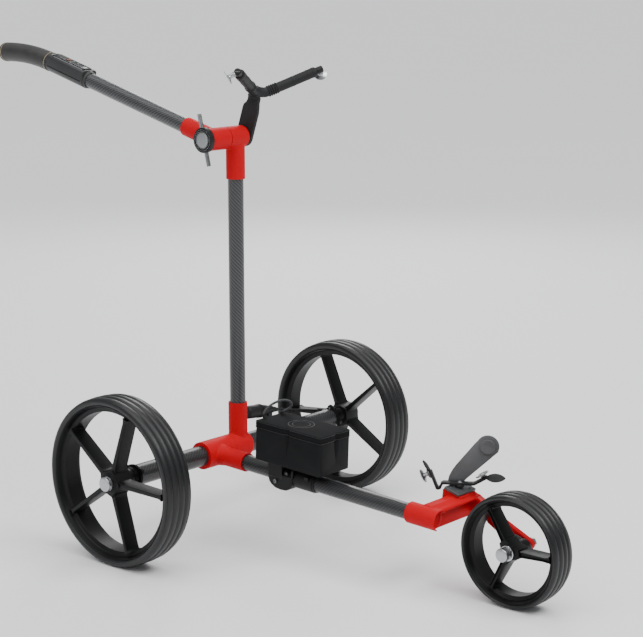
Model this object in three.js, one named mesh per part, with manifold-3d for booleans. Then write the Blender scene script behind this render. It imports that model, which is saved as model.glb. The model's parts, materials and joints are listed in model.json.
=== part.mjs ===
// Electric golf trolley: three wheels, a folding mast beside an offset front tube, and two bag brackets.
// Millimetres. +Z is up, the front wheel points along -Y, the trolley's right-hand side is -X.
// Everything is placed from the middle of the rear axle; the outer group centres the whole on the origin.
import * as THREE from 'three';
import { mergeVertices } from 'three/addons/utils/BufferGeometryUtils.js';
import Module from 'manifold-3d';

const wasm = await Module();
wasm.setup();

// Driving dimensions
const GAP = 0.3;
const REAR_RADIUS = 150;
const FRONT_RADIUS = 95;
const WHEELBASE = 638;
const REAR_OUTER_X = 327;
const REAR_WIDTH = 59;
const FRONT_WIDTH = 54;
const FRONT_CENTRE_X = -17;
const TUBE_RADIUS = 14.2;
const SLIM_TUBE_RADIUS = 14.2;
const TUBE_WALL = 2;
const MOTOR_TUBE_RADIUS = 18.5;
const MOTOR_TUBE_WALL = 2.5;
const HUB_RADIUS = 25;
const SLEEVE_RADIUS = 17;
const FRONT_TUBE_X = -62;
const FRONT_TUBE_SLOPE = THREE.MathUtils.degToRad(2.24);
const FRONT_TUBE_RISE = -1.1;
const HINGE_SEAM_X = -28;
const HUB_END_X = 21;
const UPPER_AXIS_Z = 723;
const UPPER_RADIUS = 20;
const HANDLE_X = -50;
const HANDLE_ANGLE = THREE.MathUtils.degToRad(15.5);
const HANDLE_DROP = 2;
const HANDLE_STRAIGHT = 453;
const GRIP_BEND_RADIUS = 435;
const GRIP_LENGTH = 138;
const GRIP_RADIUS = 18.5;
const SPINDLE_RADIUS = 5;
const BRACKET_LEAN = THREE.MathUtils.degToRad(18.9);
const HANDLE_REACH = 586.8;
const CENTRE_Y = (WHEELBASE + FRONT_RADIUS - HANDLE_REACH) / 2;

const X = new THREE.Vector3(1, 0, 0);
const Y = new THREE.Vector3(0, 1, 0);
const Z = new THREE.Vector3(0, 0, 1);
const v = (x, y, z) => new THREE.Vector3(x, y, z);

// Solids: closed geometries joined and cut with manifold-3d
function toManifold(geometry) {
  const plain = geometry.clone();
  plain.deleteAttribute('normal');
  plain.deleteAttribute('uv');
  const welded = mergeVertices(plain, 1e-4);
  const triVerts = Uint32Array.from(welded.index.array);
  const vertProperties = Float32Array.from(welded.attributes.position.array);
  return new wasm.Manifold(new wasm.Mesh({ numProp: 3, vertProperties, triVerts }));
}

function toGeometry(solid) {
  const mesh = solid.getMesh();
  const geometry = new THREE.BufferGeometry();
  geometry.setAttribute('position', new THREE.BufferAttribute(mesh.vertProperties, 3));
  geometry.setIndex(new THREE.BufferAttribute(mesh.triVerts, 1));
  geometry.computeVertexNormals();
  return geometry;
}

function join(...geometries) {
  let solid = toManifold(geometries[0]);
  for (const other of geometries.slice(1)) {
    solid = solid.add(toManifold(other));
  }
  return toGeometry(solid);
}

function common(geometry, other) {
  return toGeometry(toManifold(geometry).intersect(toManifold(other)));
}

function cut(geometry, ...tools) {
  let solid = toManifold(geometry);
  for (const tool of tools) {
    solid = solid.subtract(toManifold(tool));
  }
  return toGeometry(solid);
}

// Shape helpers
function rod(from, to, radius, sides = 24, radiusEnd = radius) {
  const along = to.clone().sub(from);
  const geometry = new THREE.CylinderGeometry(radiusEnd, radius, along.length(), sides);
  const turn = new THREE.Quaternion().setFromUnitVectors(Y, along.clone().normalize());
  geometry.applyQuaternion(turn);
  const middle = from.clone().add(to).multiplyScalar(0.5);
  return geometry.translate(middle.x, middle.y, middle.z);
}

function ball(centre, radius, sides = 20) {
  const geometry = new THREE.SphereGeometry(radius, sides, Math.round(sides / 2));
  return geometry.translate(centre.x, centre.y, centre.z);
}

function box(centre, width, depth, height) {
  return new THREE.BoxGeometry(width, depth, height).translate(centre.x, centre.y, centre.z);
}

// A closed profile of [radius, position along X] pairs turned about the X axis
function turned(profile, sides) {
  let area = 0;
  profile.forEach(([r, x], i) => {
    const [nextR, nextX] = profile[(i + 1) % profile.length];
    area += r * nextX - nextR * x;
  });
  const ordered = area > 0 ? profile : [...profile].reverse();
  const points = [...ordered, ordered[0]].map(([r, x]) => new THREE.Vector2(r, x));
  return new THREE.LatheGeometry(points, sides).rotateZ(-Math.PI / 2);
}

function tubeBetween(from, to, radius, wall, sides = 24) {
  const length = from.distanceTo(to);
  const ring = turned([[radius, 0], [radius, length], [radius - wall, length], [radius - wall, 0]], sides);
  const turn = new THREE.Quaternion().setFromUnitVectors(X, to.clone().sub(from).normalize());
  return ring.applyQuaternion(turn).translate(from.x, from.y, from.z);
}

// An outline drawn in (Y, Z) and given a thickness from x0 to x1
function sidePlate(shape, x0, x1, curveSegments = 10) {
  const geometry = new THREE.ExtrudeGeometry(shape, { depth: x1 - x0, bevelEnabled: false, curveSegments });
  const basis = new THREE.Matrix4().makeBasis(Y, Z, X);
  return geometry.applyMatrix4(basis).translate(x0, 0, 0);
}

function roundedRectangle(width, height, radius) {
  const shape = new THREE.Shape();
  const w = width / 2;
  const h = height / 2;
  shape.moveTo(w, h - radius);
  shape.absarc(w - radius, h - radius, radius, 0, Math.PI / 2);
  shape.absarc(radius - w, h - radius, radius, Math.PI / 2, Math.PI);
  shape.absarc(radius - w, radius - h, radius, Math.PI, 1.5 * Math.PI);
  shape.absarc(w - radius, radius - h, radius, 1.5 * Math.PI, 2 * Math.PI);
  return shape;
}

// A rounded block: width along X, length along Y, height along Z, its base at z = 0
function pad(width, length, height, radius, curveSegments = 4) {
  const shape = roundedRectangle(width, length, radius);
  return new THREE.ExtrudeGeometry(shape, { depth: height, bevelEnabled: false, curveSegments });
}

// Materials
const FINISHES = {
  redPaint: { color: 0xcc1f1f, roughness: 0.45, metalness: 0.1 },
  carbon: { color: 0x2a2c2e, roughness: 0.3, metalness: 0.2 },
  blackPlastic: { color: 0x17191b, roughness: 0.55, metalness: 0 },
  softBlack: { color: 0x1c1d1e, roughness: 0.8, metalness: 0 },
  rubber: { color: 0x222426, roughness: 0.75, metalness: 0 },
  leather: { color: 0x2d2c2b, roughness: 0.6, metalness: 0 },
  greyMetal: { color: 0x5e6062, roughness: 0.5, metalness: 0.6 },
  steel: { color: 0xa9adb0, roughness: 0.3, metalness: 0.9 },
  aluminium: { color: 0xb9bcbf, roughness: 0.35, metalness: 0.8 },
  orange: { color: 0xd6532a, roughness: 0.5, metalness: 0 },
  glass: { color: 0x8fa2a8, roughness: 0.1, metalness: 0 },
};

const trolley = new THREE.Group();
const fromAxle = new THREE.Group();
fromAxle.position.y = CENTRE_Y;
trolley.add(fromAxle);

function addPiece(name, geometry, finish, parent = fromAxle) {
  const mesh = new THREE.Mesh(geometry, new THREE.MeshStandardMaterial(FINISHES[finish]));
  mesh.name = name;
  parent.add(mesh);
  return mesh;
}

const AXLE = v(0, 0, REAR_RADIUS);
const TUBE_START = v(FRONT_TUBE_X, 0, REAR_RADIUS + FRONT_TUBE_RISE);

// A point on the front tube's axis, `s` forward of the axle
function alongTube(s) {
  return v(FRONT_TUBE_X, -s * Math.cos(FRONT_TUBE_SLOPE), TUBE_START.z - s * Math.sin(FRONT_TUBE_SLOPE));
}

// A point on the handle's axis, `s` back from the upper hinge
function alongHandle(s) {
  return v(HANDLE_X, s * Math.cos(HANDLE_ANGLE), UPPER_AXIS_Z - HANDLE_DROP + s * Math.sin(HANDLE_ANGLE));
}

// Rear axle hub: the fixed half of the fold, with sleeves for the right motor tube and the front tube
const HUB_NEAR_X = -97;
const MOTOR_BORE_END_X = -62;
const TUBE_SLEEVE_END = 82;
const SWELL_END = 34;
const PIN_RADIUS = 10;

function makeAxleHub() {
  const barrel = rod(v(HUB_NEAR_X, 0, AXLE.z), v(HINGE_SEAM_X - GAP / 2, 0, AXLE.z), HUB_RADIUS, 28);
  const sleeve = rod(alongTube(0), alongTube(TUBE_SLEEVE_END), SLEEVE_RADIUS);
  const swell = rod(alongTube(0), alongTube(SWELL_END), HUB_RADIUS - 2, 24, SLEEVE_RADIUS);
  const motorBore = rod(
    v(HUB_NEAR_X - 1, 0, AXLE.z),
    v(MOTOR_BORE_END_X, 0, AXLE.z),
    MOTOR_TUBE_RADIUS + GAP,
  );
  const pinBore = rod(v(MOTOR_BORE_END_X - 1, 0, AXLE.z), v(0, 0, AXLE.z), PIN_RADIUS + GAP);
  const tubeBore = rod(alongTube(34), alongTube(TUBE_SLEEVE_END + 1), SLIM_TUBE_RADIUS + GAP);
  return cut(join(barrel, sleeve, swell), motorBore, pinBore, tubeBore);
}
addPiece('axle_hub', makeAxleHub(), 'redPaint');

const HINGE_PIN_END_X = 16;
const PIN_BORE_END_X = -14;
addPiece(
  'fold_hinge_pin',
  rod(v(MOTOR_BORE_END_X + GAP, 0, AXLE.z), v(HINGE_PIN_END_X, 0, AXLE.z), PIN_RADIUS, 20),
  'steel',
);

// Mast hub: the folding half, a round end with the mast's sleeve rising from it
const MAST_SLEEVE_TOP_Z = 233;
const MAST_FOOT_Z = 178;

function makeMastHub() {
  const barrel = rod(v(HINGE_SEAM_X + GAP / 2, 0, AXLE.z), v(8, 0, AXLE.z), HUB_RADIUS, 28);
  const end = ball(v(6, 0, AXLE.z), HUB_RADIUS + 0.6, 20);
  const sleeve = rod(AXLE, v(0, 0, MAST_SLEEVE_TOP_Z), SLEEVE_RADIUS + 0.4);
  const bulk = join(barrel, end, sleeve);
  const cap = box(v(HUB_END_X + 10, 0, AXLE.z), 20, 80, 80);
  const motorBore = rod(v(PIN_BORE_END_X, 0, AXLE.z), v(40, 0, AXLE.z), MOTOR_TUBE_RADIUS + GAP);
  const pinBore = rod(v(HINGE_SEAM_X - 5, 0, AXLE.z), v(0, 0, AXLE.z), PIN_RADIUS + GAP);
  const mastBore = rod(v(0, 0, MAST_FOOT_Z - GAP), v(0, 0, MAST_SLEEVE_TOP_Z + 1), TUBE_RADIUS + GAP);
  return cut(bulk, cap, motorBore, pinBore, mastBore);
}
addPiece('mast_hub', makeMastHub(), 'redPaint');

// Motor tubes reach from the hub to a round end flange just inside each rear wheel
const FLANGE_X = 261;
const FLANGE_THICK = 5;
const FLANGE_RADIUS = 23;
const SHAFT_RADIUS = 6;
const SIDES = [['right', -1], ['left', 1]];

function makeFlange(side) {
  const inner = FLANGE_X * side;
  const outer = (FLANGE_X + FLANGE_THICK) * side;
  const disc = rod(v(inner, 0, AXLE.z), v(outer, 0, AXLE.z), FLANGE_RADIUS, 28);
  const neckRadius = MOTOR_TUBE_RADIUS - MOTOR_TUBE_WALL - GAP;
  const neck = rod(v((FLANGE_X - 14) * side, 0, AXLE.z), v(inner, 0, AXLE.z), neckRadius);
  const lugs = [90, 210, 330].map((degrees) => {
    const angle = THREE.MathUtils.degToRad(degrees);
    const centre = v(inner, 20 * Math.cos(angle), AXLE.z + 20 * Math.sin(angle));
    return rod(centre, centre.clone().setX(outer), 6.5, 16);
  });
  const boreFrom = v((FLANGE_X - 20) * side, 0, AXLE.z);
  const bore = rod(boreFrom, v(outer + side, 0, AXLE.z), SHAFT_RADIUS + GAP, 20);
  return cut(join(disc, neck, ...lugs), bore);
}

for (const [name, side] of SIDES) {
  const inner = side < 0 ? MOTOR_BORE_END_X - GAP : PIN_BORE_END_X + GAP;
  const tube = tubeBetween(
    v(inner, 0, AXLE.z),
    v((FLANGE_X - GAP) * side, 0, AXLE.z),
    MOTOR_TUBE_RADIUS,
    MOTOR_TUBE_WALL,
  );
  addPiece(`${name}_motor_tube`, tube, 'carbon');
  addPiece(`${name}_motor_flange`, makeFlange(side), 'blackPlastic');
}

// Wheels: a ribbed tyre, a deep plastic wheel with flat blade spokes, a drive shaft and a hub button
const TREAD_RIBS = 4;
const RIB_CHAMFER = 1.6;
const GROOVE_DEPTH = 2.2;
const SHOULDER_DROP = 2.6;

function tyreProfile(radius, width, seatRadius) {
  const edge = width / 2;
  const points = [[seatRadius, 9 - edge], [seatRadius + 3, 6.5 - edge], [seatRadius + 6, 1 - edge]];
  const pitch = (width - 5) / TREAD_RIBS;
  for (let rib = 0; rib < TREAD_RIBS; rib += 1) {
    const start = -width / 2 + 2.5 + rib * pitch;
    const middle = (start + pitch / 2) / (width / 2);
    const crown = radius - SHOULDER_DROP * middle * middle;
    points.push([crown - GROOVE_DEPTH, start]);
    points.push([crown, start + RIB_CHAMFER]);
    points.push([crown, start + pitch - RIB_CHAMFER]);
  }
  const last = radius - SHOULDER_DROP - GROOVE_DEPTH + 1;
  points.push([last, width / 2 - 2.5]);
  points.push([seatRadius + 6, edge - 1]);
  points.push([seatRadius + 3, edge - 6.5]);
  points.push([seatRadius, edge - 9]);
  // The middle ribs touch the ground exactly at the tyre's radius
  const crown = Math.max(...points.map(([r]) => r));
  return points.map(([r, x]) => [r > seatRadius + 6 ? r + radius - crown : r, x]);
}

function rimProfile(seatRadius, width, depth) {
  const half = width / 2;
  const outside = seatRadius - GAP;
  const edge = [
    [outside, half - 9.2],
    [outside + 2.4, half - 6.2],
    [outside - 1, half - 4],
    [outside - depth, half - 14],
  ];
  return [...edge, ...edge.map(([r, x]) => [r, -x]).reverse()];
}

// One blade spoke standing along +Z, flat across the wheel, thicker at the hub
function spoke(length, from, to, hubWidth, rimThickness, hubThickness) {
  const shape = new THREE.Shape();
  shape.moveTo(-hubThickness / 2, 0);
  shape.lineTo(hubThickness / 2, 0);
  shape.lineTo(rimThickness / 2, length);
  shape.lineTo(-rimThickness / 2, length);
  shape.closePath();
  return sidePlate(shape, from, to);
}

// Seen from outside (towards the trolley) a wheel's x = 0 is its middle plane and +x its outer side
function makeWheel(spec) {
  const ring = turned(rimProfile(spec.seat, spec.width, spec.rimDepth), spec.sides);
  const hubShape = new THREE.Shape();
  for (let corner = 0; corner < spec.spokes; corner += 1) {
    const angle = Math.PI / 2 + spec.phase + ((corner + 0.5) * 2 * Math.PI) / spec.spokes;
    const spread = spec.hubSpread;
    for (const offset of [-spread, spread]) {
      const point = [spec.hubRadius * Math.cos(angle + offset), spec.hubRadius * Math.sin(angle + offset)];
      if (corner === 0 && offset < 0) {
        hubShape.moveTo(...point);
      } else {
        hubShape.lineTo(...point);
      }
    }
  }
  hubShape.closePath();
  const parts = [sidePlate(hubShape, spec.hubFrom, spec.hubTo)];
  parts.push(rod(v(spec.sleeveEnd, 0, 0), v(spec.hubTo, 0, 0), spec.sleeveRadius, 24));
  for (let i = 0; i < spec.spokes; i += 1) {
    const angle = spec.phase + (i * 2 * Math.PI) / spec.spokes;
    const length = spec.seat - spec.rimDepth + 2;
    const blade = spoke(length, spec.spokeFrom, spec.spokeTo, spec.hubRadius, 7, 10);
    parts.push(blade.rotateX(angle));
  }
  const body = join(ring, ...parts);
  const bore = rod(v(spec.sleeveEnd - 1, 0, 0), v(spec.boreEnd, 0, 0), spec.boreRadius, 20);
  const capSeat = rod(v(spec.capSeatFrom, 0, 0), v(spec.hubTo + 1, 0, 0), spec.capSeatRadius, 24);
  return cut(body, bore, capSeat);
}

const REAR_MIDDLE_X = REAR_OUTER_X - REAR_WIDTH / 2;
const REAR_SEAT = 134;
const HUB_BUTTON_RADIUS = 13;
const HUB_BUTTON_TRAVEL = 3;
const CAP_SEAT_FROM = 16;

const REAR_WHEEL = {
  seat: REAR_SEAT,
  width: REAR_WIDTH,
  sides: 36,
  rimDepth: 10,
  spokes: 5,
  hubRadius: 27,
  hubSpread: 0.34,
  hubFrom: -3,
  hubTo: 26,
  sleeveEnd: -30,
  sleeveRadius: 17,
  spokeFrom: -6,
  spokeTo: 23,
  boreEnd: CAP_SEAT_FROM + 1,
  boreRadius: SHAFT_RADIUS + GAP,
  capSeatFrom: CAP_SEAT_FROM,
  capSeatRadius: HUB_BUTTON_RADIUS + GAP,
};

const SPOKE_PHASE = { right: THREE.MathUtils.degToRad(53.2), left: THREE.MathUtils.degToRad(-23) };

for (const [name, side] of SIDES) {
  // Built with its outer side at +x, then turned about Z for the right-hand wheel
  const place = (geometry) => {
    if (side < 0) {
      geometry.rotateZ(Math.PI);
    }
    return geometry.translate(REAR_MIDDLE_X * side, 0, AXLE.z);
  };
  const tyre = turned(tyreProfile(REAR_RADIUS, REAR_WIDTH, REAR_SEAT), REAR_WHEEL.sides);
  addPiece(`${name}_tyre`, place(tyre), 'rubber');
  addPiece(`${name}_wheel`, place(makeWheel({ ...REAR_WHEEL, phase: SPOKE_PHASE[name] })), 'blackPlastic');
  const shaft = rod(v(-58, 0, 0), v(CAP_SEAT_FROM - 4, 0, 0), SHAFT_RADIUS, 20);
  addPiece(`${name}_drive_shaft`, place(shaft), 'steel');
  const buttonFoot = CAP_SEAT_FROM + HUB_BUTTON_TRAVEL + GAP;
  const button = turned(
    [
      [0, buttonFoot],
      [HUB_BUTTON_RADIUS, buttonFoot],
      [HUB_BUTTON_RADIUS, 35.4],
      [HUB_BUTTON_RADIUS - 1.2, 36.6],
      [0, 37.2],
    ],
    28,
  );
  addPiece(`${name}_hub_button`, place(button), 'aluminium');
}

// Front tube, cast front fork and front wheel
const FRONT_TUBE_FROM = 36;
const FRONT_SLEEVE_FROM = 456;
const FRONT_SLEEVE_TO = 519;
const FRONT_TUBE_TO = 496;
addPiece(
  'front_tube',
  tubeBetween(alongTube(FRONT_TUBE_FROM), alongTube(FRONT_TUBE_TO), SLIM_TUBE_RADIUS, TUBE_WALL),
  'carbon',
);

const BEAM_END_X = 58;
const BEAM_BACK_Y = -480;
const BEAM_FRONT_Y = -516;
const POCKET_Y = -505;
const BEAM_TOP_Z = 149;
const HOOD_TOP_Z = 145;
const BEAM_BOTTOM_Z = 111;
const ARM_FROM_X = 14.5;
const ARM_TO_X = 26;
const ARM_ROOT_Y = -495;
const ARM_ROOT_X = 45;
const AXLE_BORE = 5.3;
const FRONT_AXLE = v(0, -WHEELBASE, FRONT_RADIUS);
const onFrontAxle = (x) => FRONT_AXLE.clone().setX(x);

function makeFrontFork() {
  const sleeve = rod(alongTube(FRONT_SLEEVE_FROM), alongTube(FRONT_SLEEVE_TO), SLEEVE_RADIUS + 1, 28);
  const beamShape = new THREE.Shape();
  beamShape.moveTo(BEAM_BACK_Y, BEAM_BOTTOM_Z + 8);
  beamShape.lineTo(BEAM_BACK_Y, BEAM_TOP_Z - 5);
  beamShape.quadraticCurveTo(BEAM_BACK_Y, BEAM_TOP_Z, BEAM_BACK_Y - 5, BEAM_TOP_Z);
  beamShape.lineTo(BEAM_FRONT_Y + 14, BEAM_TOP_Z);
  beamShape.lineTo(BEAM_FRONT_Y + 5, HOOD_TOP_Z);
  beamShape.quadraticCurveTo(BEAM_FRONT_Y, HOOD_TOP_Z - 1, BEAM_FRONT_Y, HOOD_TOP_Z - 5);
  beamShape.lineTo(BEAM_FRONT_Y + 3, BEAM_BOTTOM_Z);
  beamShape.lineTo(BEAM_BACK_Y - 4, BEAM_BOTTOM_Z);
  beamShape.closePath();
  const beam = sidePlate(beamShape, FRONT_TUBE_X, BEAM_END_X, 5);
  // The front is hollowed under a top flange, open below, and the sleeve's end is hollowed with it
  const pocket = box(v(-8.5, POCKET_Y - 15, 119.5), 107, 30, 40);
  const socket = rod(alongTube(-POCKET_Y), alongTube(FRONT_SLEEVE_TO + 5), SLEEVE_RADIUS - 2.5, 28);
  const pedestalShape = new THREE.Shape();
  pedestalShape.moveTo(-472, 140);
  pedestalShape.lineTo(-474, 160.5);
  pedestalShape.lineTo(-508, 151);
  pedestalShape.lineTo(-508, 140);
  pedestalShape.closePath();
  const pedestal = sidePlate(pedestalShape, 4, 50);
  const armShape = new THREE.Shape();
  armShape.moveTo(ARM_ROOT_Y, HOOD_TOP_Z - 1);
  armShape.lineTo(-522, HOOD_TOP_Z - 1);
  armShape.quadraticCurveTo(-542, HOOD_TOP_Z - 1, -562, 138);
  armShape.lineTo(-640, 103.5);
  armShape.absarc(-637, 94, 10, 1.8, 4.5, false);
  armShape.lineTo(-600, 91);
  armShape.lineTo(-551, 119);
  armShape.quadraticCurveTo(-535, 124, ARM_ROOT_Y, BEAM_BOTTOM_Z + 3);
  armShape.closePath();
  const armPlan = new THREE.Shape();
  armPlan.moveTo(BEAM_END_X, ARM_ROOT_Y);
  armPlan.lineTo(BEAM_END_X, -515);
  armPlan.lineTo(ARM_TO_X, -564);
  armPlan.lineTo(ARM_TO_X, -660);
  armPlan.lineTo(ARM_FROM_X, -660);
  armPlan.lineTo(ARM_FROM_X, -558);
  armPlan.lineTo(ARM_ROOT_X, -512);
  armPlan.lineTo(ARM_ROOT_X, ARM_ROOT_Y);
  armPlan.closePath();
  const armSweep = new THREE.ExtrudeGeometry(armPlan, { depth: 2 * FRONT_AXLE.z, bevelEnabled: false });
  const arm = common(sidePlate(armShape, 0, BEAM_END_X + 5, 6), armSweep);
  const boreRadius = SLIM_TUBE_RADIUS + GAP;
  const tubeBore = rod(alongTube(FRONT_SLEEVE_FROM - 1), alongTube(FRONT_TUBE_TO + 1), boreRadius);
  const axleBore = rod(onFrontAxle(ARM_FROM_X - 5), onFrontAxle(ARM_TO_X + 5), AXLE_BORE, 20);
  const body = cut(join(sleeve, beam), pocket, socket);
  return cut(join(body, pedestal, arm), tubeBore, axleBore);
}
addPiece('front_fork', makeFrontFork(), 'redPaint');

function makeTrackingPlate() {
  const shape = new THREE.Shape();
  shape.moveTo(-597, 102);
  shape.lineTo(-618, 108);
  shape.lineTo(-649, 96);
  shape.lineTo(-644, 83);
  shape.lineTo(-603, 80);
  shape.closePath();
  const plate = sidePlate(shape, ARM_FROM_X - 3, ARM_FROM_X - GAP);
  return cut(plate, rod(onFrontAxle(0), onFrontAxle(30), AXLE_BORE, 20));
}
addPiece('tracking_plate', makeTrackingPlate(), 'greyMetal');

const FRONT_SEAT = 84;
const FRONT_WHEEL = {
  seat: FRONT_SEAT,
  width: FRONT_WIDTH,
  sides: 32,
  rimDepth: 9,
  spokes: 3,
  phase: THREE.MathUtils.degToRad(32.5),
  hubRadius: 21,
  hubSpread: 0.5,
  hubFrom: -6,
  hubTo: 25,
  sleeveEnd: -26,
  sleeveRadius: 12,
  spokeFrom: -7,
  spokeTo: 21,
  boreEnd: 30,
  boreRadius: 5.3,
  capSeatFrom: 24,
  capSeatRadius: 6,
};

// The front wheel's outer side is the trolley's right-hand side
function placeFront(geometry) {
  return geometry.rotateZ(Math.PI).translate(FRONT_CENTRE_X, FRONT_AXLE.y, FRONT_AXLE.z);
}
const frontTyre = turned(tyreProfile(FRONT_RADIUS, FRONT_WIDTH, FRONT_SEAT), FRONT_WHEEL.sides);
addPiece('front_tyre', placeFront(frontTyre), 'rubber');
addPiece('front_wheel', placeFront(makeWheel(FRONT_WHEEL)), 'blackPlastic');
const BOLT_HEAD_X = FRONT_CENTRE_X - FRONT_WIDTH / 2;
const BOLT_HEAD_LENGTH = 15;
const axleBolt = join(
  rod(onFrontAxle(ARM_TO_X + 6), onFrontAxle(BOLT_HEAD_X), 5, 20),
  rod(onFrontAxle(ARM_TO_X + GAP), onFrontAxle(ARM_TO_X + 6), 9, 6),
  rod(onFrontAxle(BOLT_HEAD_X + 1.4), onFrontAxle(BOLT_HEAD_X - BOLT_HEAD_LENGTH), 11.5, 28),
);
addPiece('front_axle_bolt', axleBolt, 'aluminium');

// Battery on a clamp bracket over the front tube; built level, then laid along the sloping tube
function onTube(geometry) {
  return geometry.rotateX(FRONT_TUBE_SLOPE).translate(TUBE_START.x, TUBE_START.y, TUBE_START.z);
}
const BATTERY_FROM = 136;
const BATTERY_TO = 287;
const BATTERY_WIDTH = 78;
const BATTERY_BASE = 29;
const BATTERY_LID = 86;
const BATTERY_TOP = 99;
const BATTERY_MIDDLE = -(BATTERY_FROM + BATTERY_TO) / 2;

function makeBatteryBox() {
  const length = BATTERY_TO - BATTERY_FROM;
  const body = pad(BATTERY_WIDTH, length, BATTERY_LID - BATTERY_BASE, 4);
  body.translate(0, BATTERY_MIDDLE, BATTERY_BASE);
  const grooves = [-1, 1].map((side) => {
    return box(v((side * BATTERY_WIDTH) / 2, BATTERY_MIDDLE + 2, BATTERY_LID), 3, 9, 60);
  });
  const endGroove = box(v(2, -BATTERY_TO, BATTERY_LID), 9, 3, 60);
  return cut(body, ...grooves, endGroove);
}
addPiece('battery_box', onTube(makeBatteryBox()), 'blackPlastic');

function makeBatteryLid() {
  const length = BATTERY_TO - BATTERY_FROM + 2;
  const from = BATTERY_LID + GAP;
  const lid = pad(BATTERY_WIDTH + 2, length, BATTERY_TOP - from, 4.5).translate(0, BATTERY_MIDDLE, from);
  const boss = rod(v(0, BATTERY_MIDDLE + 3, from + 2), v(0, BATTERY_MIDDLE + 3, BATTERY_TOP + 1), 24, 24);
  return join(lid, boss);
}
addPiece('battery_lid', onTube(makeBatteryLid()), 'blackPlastic');

const BRACKET_FROM = 148;
const BRACKET_TO = 238;
const SCREW_Y = -(BRACKET_FROM + 20);
const SCREW_Z = -10;
const JAW_HALF = 19;
function makeBatteryBracket() {
  const block = pad(42, 33, BATTERY_BASE - GAP + 2, 2.5).translate(0, -166.5, -2);
  // The jaw below the tube has a rounded foot
  const jawShape = new THREE.Shape();
  jawShape.moveTo(-150.5, 4);
  jawShape.lineTo(-150.5, -5);
  jawShape.quadraticCurveTo(-154, -23, -180, -24);
  jawShape.quadraticCurveTo(-206, -23, -206.5, 4);
  jawShape.closePath();
  const jaw = sidePlate(jawShape, -JAW_HALF, JAW_HALF, 6);
  const length = BRACKET_TO - BRACKET_FROM;
  const spine = pad(16, length, BATTERY_BASE - GAP + 13.4, 4).translate(12, -193, -14);
  const saddle = pad(34, length - 2, 9, 3).translate(0, -193, BATTERY_BASE - GAP - 10);
  const collar = rod(v(0, -184.4, 0), v(0, -253, 0), 17.4, 30);
  const tab = box(v(-17.6, -208.2, 10.6), 6.5, 3, 14);
  const boss = rod(v(-10, -193, 9), v(-20, -193, 9), 4.6, 20);
  const tubeBore = rod(v(0, -100, 0), v(0, -300, 0), SLIM_TUBE_RADIUS + GAP);
  const slit = box(v(0, -(BRACKET_FROM + 45), -20), 3, 110, 16);
  const screwBore = rod(v(-30, SCREW_Y, SCREW_Z), v(-11, SCREW_Y, SCREW_Z), 2.8, 16);
  const body = join(block, jaw, spine, saddle, collar, tab, boss);
  return cut(body, tubeBore, slit, screwBore);
}
addPiece('battery_bracket', onTube(makeBatteryBracket()), 'blackPlastic');

const clampScrew = join(
  rod(v(-JAW_HALF - 0.5, SCREW_Y, SCREW_Z), v(-12, SCREW_Y, SCREW_Z), 2.5, 16),
  rod(v(-JAW_HALF - GAP, SCREW_Y, SCREW_Z), v(-JAW_HALF - 3, SCREW_Y, SCREW_Z), 3.8, 20),
);
addPiece('clamp_screw', onTube(clampScrew), 'steel');

// Carry loop: a cord whose two ends enter sockets at the back edge of the battery lid
const LOOP_RADIUS = 2.2;
const LOOP_POINTS = [
  [-78, -137.3, 245.0],
  [-77.6, -137.6, 248.5],
  [-76.2, -138.4, 252.5],
  [-72.6, -140.0, 257.5],
  [-66.6, -142.6, 262.4],
  [-59.0, -145.9, 266.4],
  [-50.6, -149.4, 269.0],
  [-42.2, -152.8, 269.6],
  [-34.6, -155.6, 268.0],
  [-28.8, -157.0, 264.2],
  [-25.8, -156.6, 258.9],
  [-26.6, -154.2, 253.8],
  [-30.4, -150.6, 250.0],
  [-34.6, -147.2, 247.4],
  [-38, -144.6, 245.0],
];
const loopCurve = new THREE.CatmullRomCurve3(LOOP_POINTS.map((point) => v(...point)));
const loopSection = new THREE.Shape();
loopSection.absarc(0, 0, LOOP_RADIUS, 0, 2 * Math.PI);
const loopSweep = { steps: 22, extrudePath: loopCurve, curveSegments: 5 };
const loop = new THREE.ExtrudeGeometry(loopSection, loopSweep);
addPiece('battery_carry_loop', loop, 'softBlack');

// Motor lead: a junction housing held on the left motor tube by a saddle, and a lead to the flange lug
const JUNCTION_FROM = v(32, 10, 204.5);
const JUNCTION_TO = v(106, 10, 196.5);
const LEAD_END = v(254, 17, 163);
const JUNCTION_SADDLE_X = 90;

function makeJunction() {
  const collarAt = JUNCTION_FROM.clone().lerp(JUNCTION_TO, 0.42);
  const collarTo = JUNCTION_FROM.clone().lerp(JUNCTION_TO, 0.5);
  const body = rod(JUNCTION_FROM, collarTo, 12.4, 24);
  const collar = rod(collarAt, collarTo, 13.2, 24);
  const taper = rod(collarTo, JUNCTION_TO, 12, 24, 6.5);
  const saddleFrom = v(JUNCTION_SADDLE_X - 8, 0, AXLE.z);
  const saddleTo = v(JUNCTION_SADDLE_X + 8, 0, AXLE.z);
  const saddle = rod(saddleFrom, saddleTo, MOTOR_TUBE_RADIUS + 4, 28);
  const post = box(v(JUNCTION_SADDLE_X, 6, 182), 12, 12, 26);
  const bore = rod(v(60, 0, AXLE.z), v(120, 0, AXLE.z), MOTOR_TUBE_RADIUS + GAP);
  return cut(join(body, collar, taper, post, saddle), bore);
}
addPiece('wiring_junction', makeJunction(), 'softBlack');
const leadStart = JUNCTION_TO.clone().lerp(LEAD_END, 0.01);
addPiece('motor_lead', rod(leadStart, LEAD_END, 2.8, 12), 'softBlack');

// Mast and the upper hinge, in two halves clamped by a knob
const UPPER_SLEEVE_FOOT_Z = 648;
const MAST_TOP_Z = 699;
addPiece(
  'mast_tube',
  tubeBetween(v(0, 0, MAST_FOOT_Z), v(0, 0, MAST_TOP_Z), TUBE_RADIUS, TUBE_WALL),
  'carbon',
);

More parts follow.
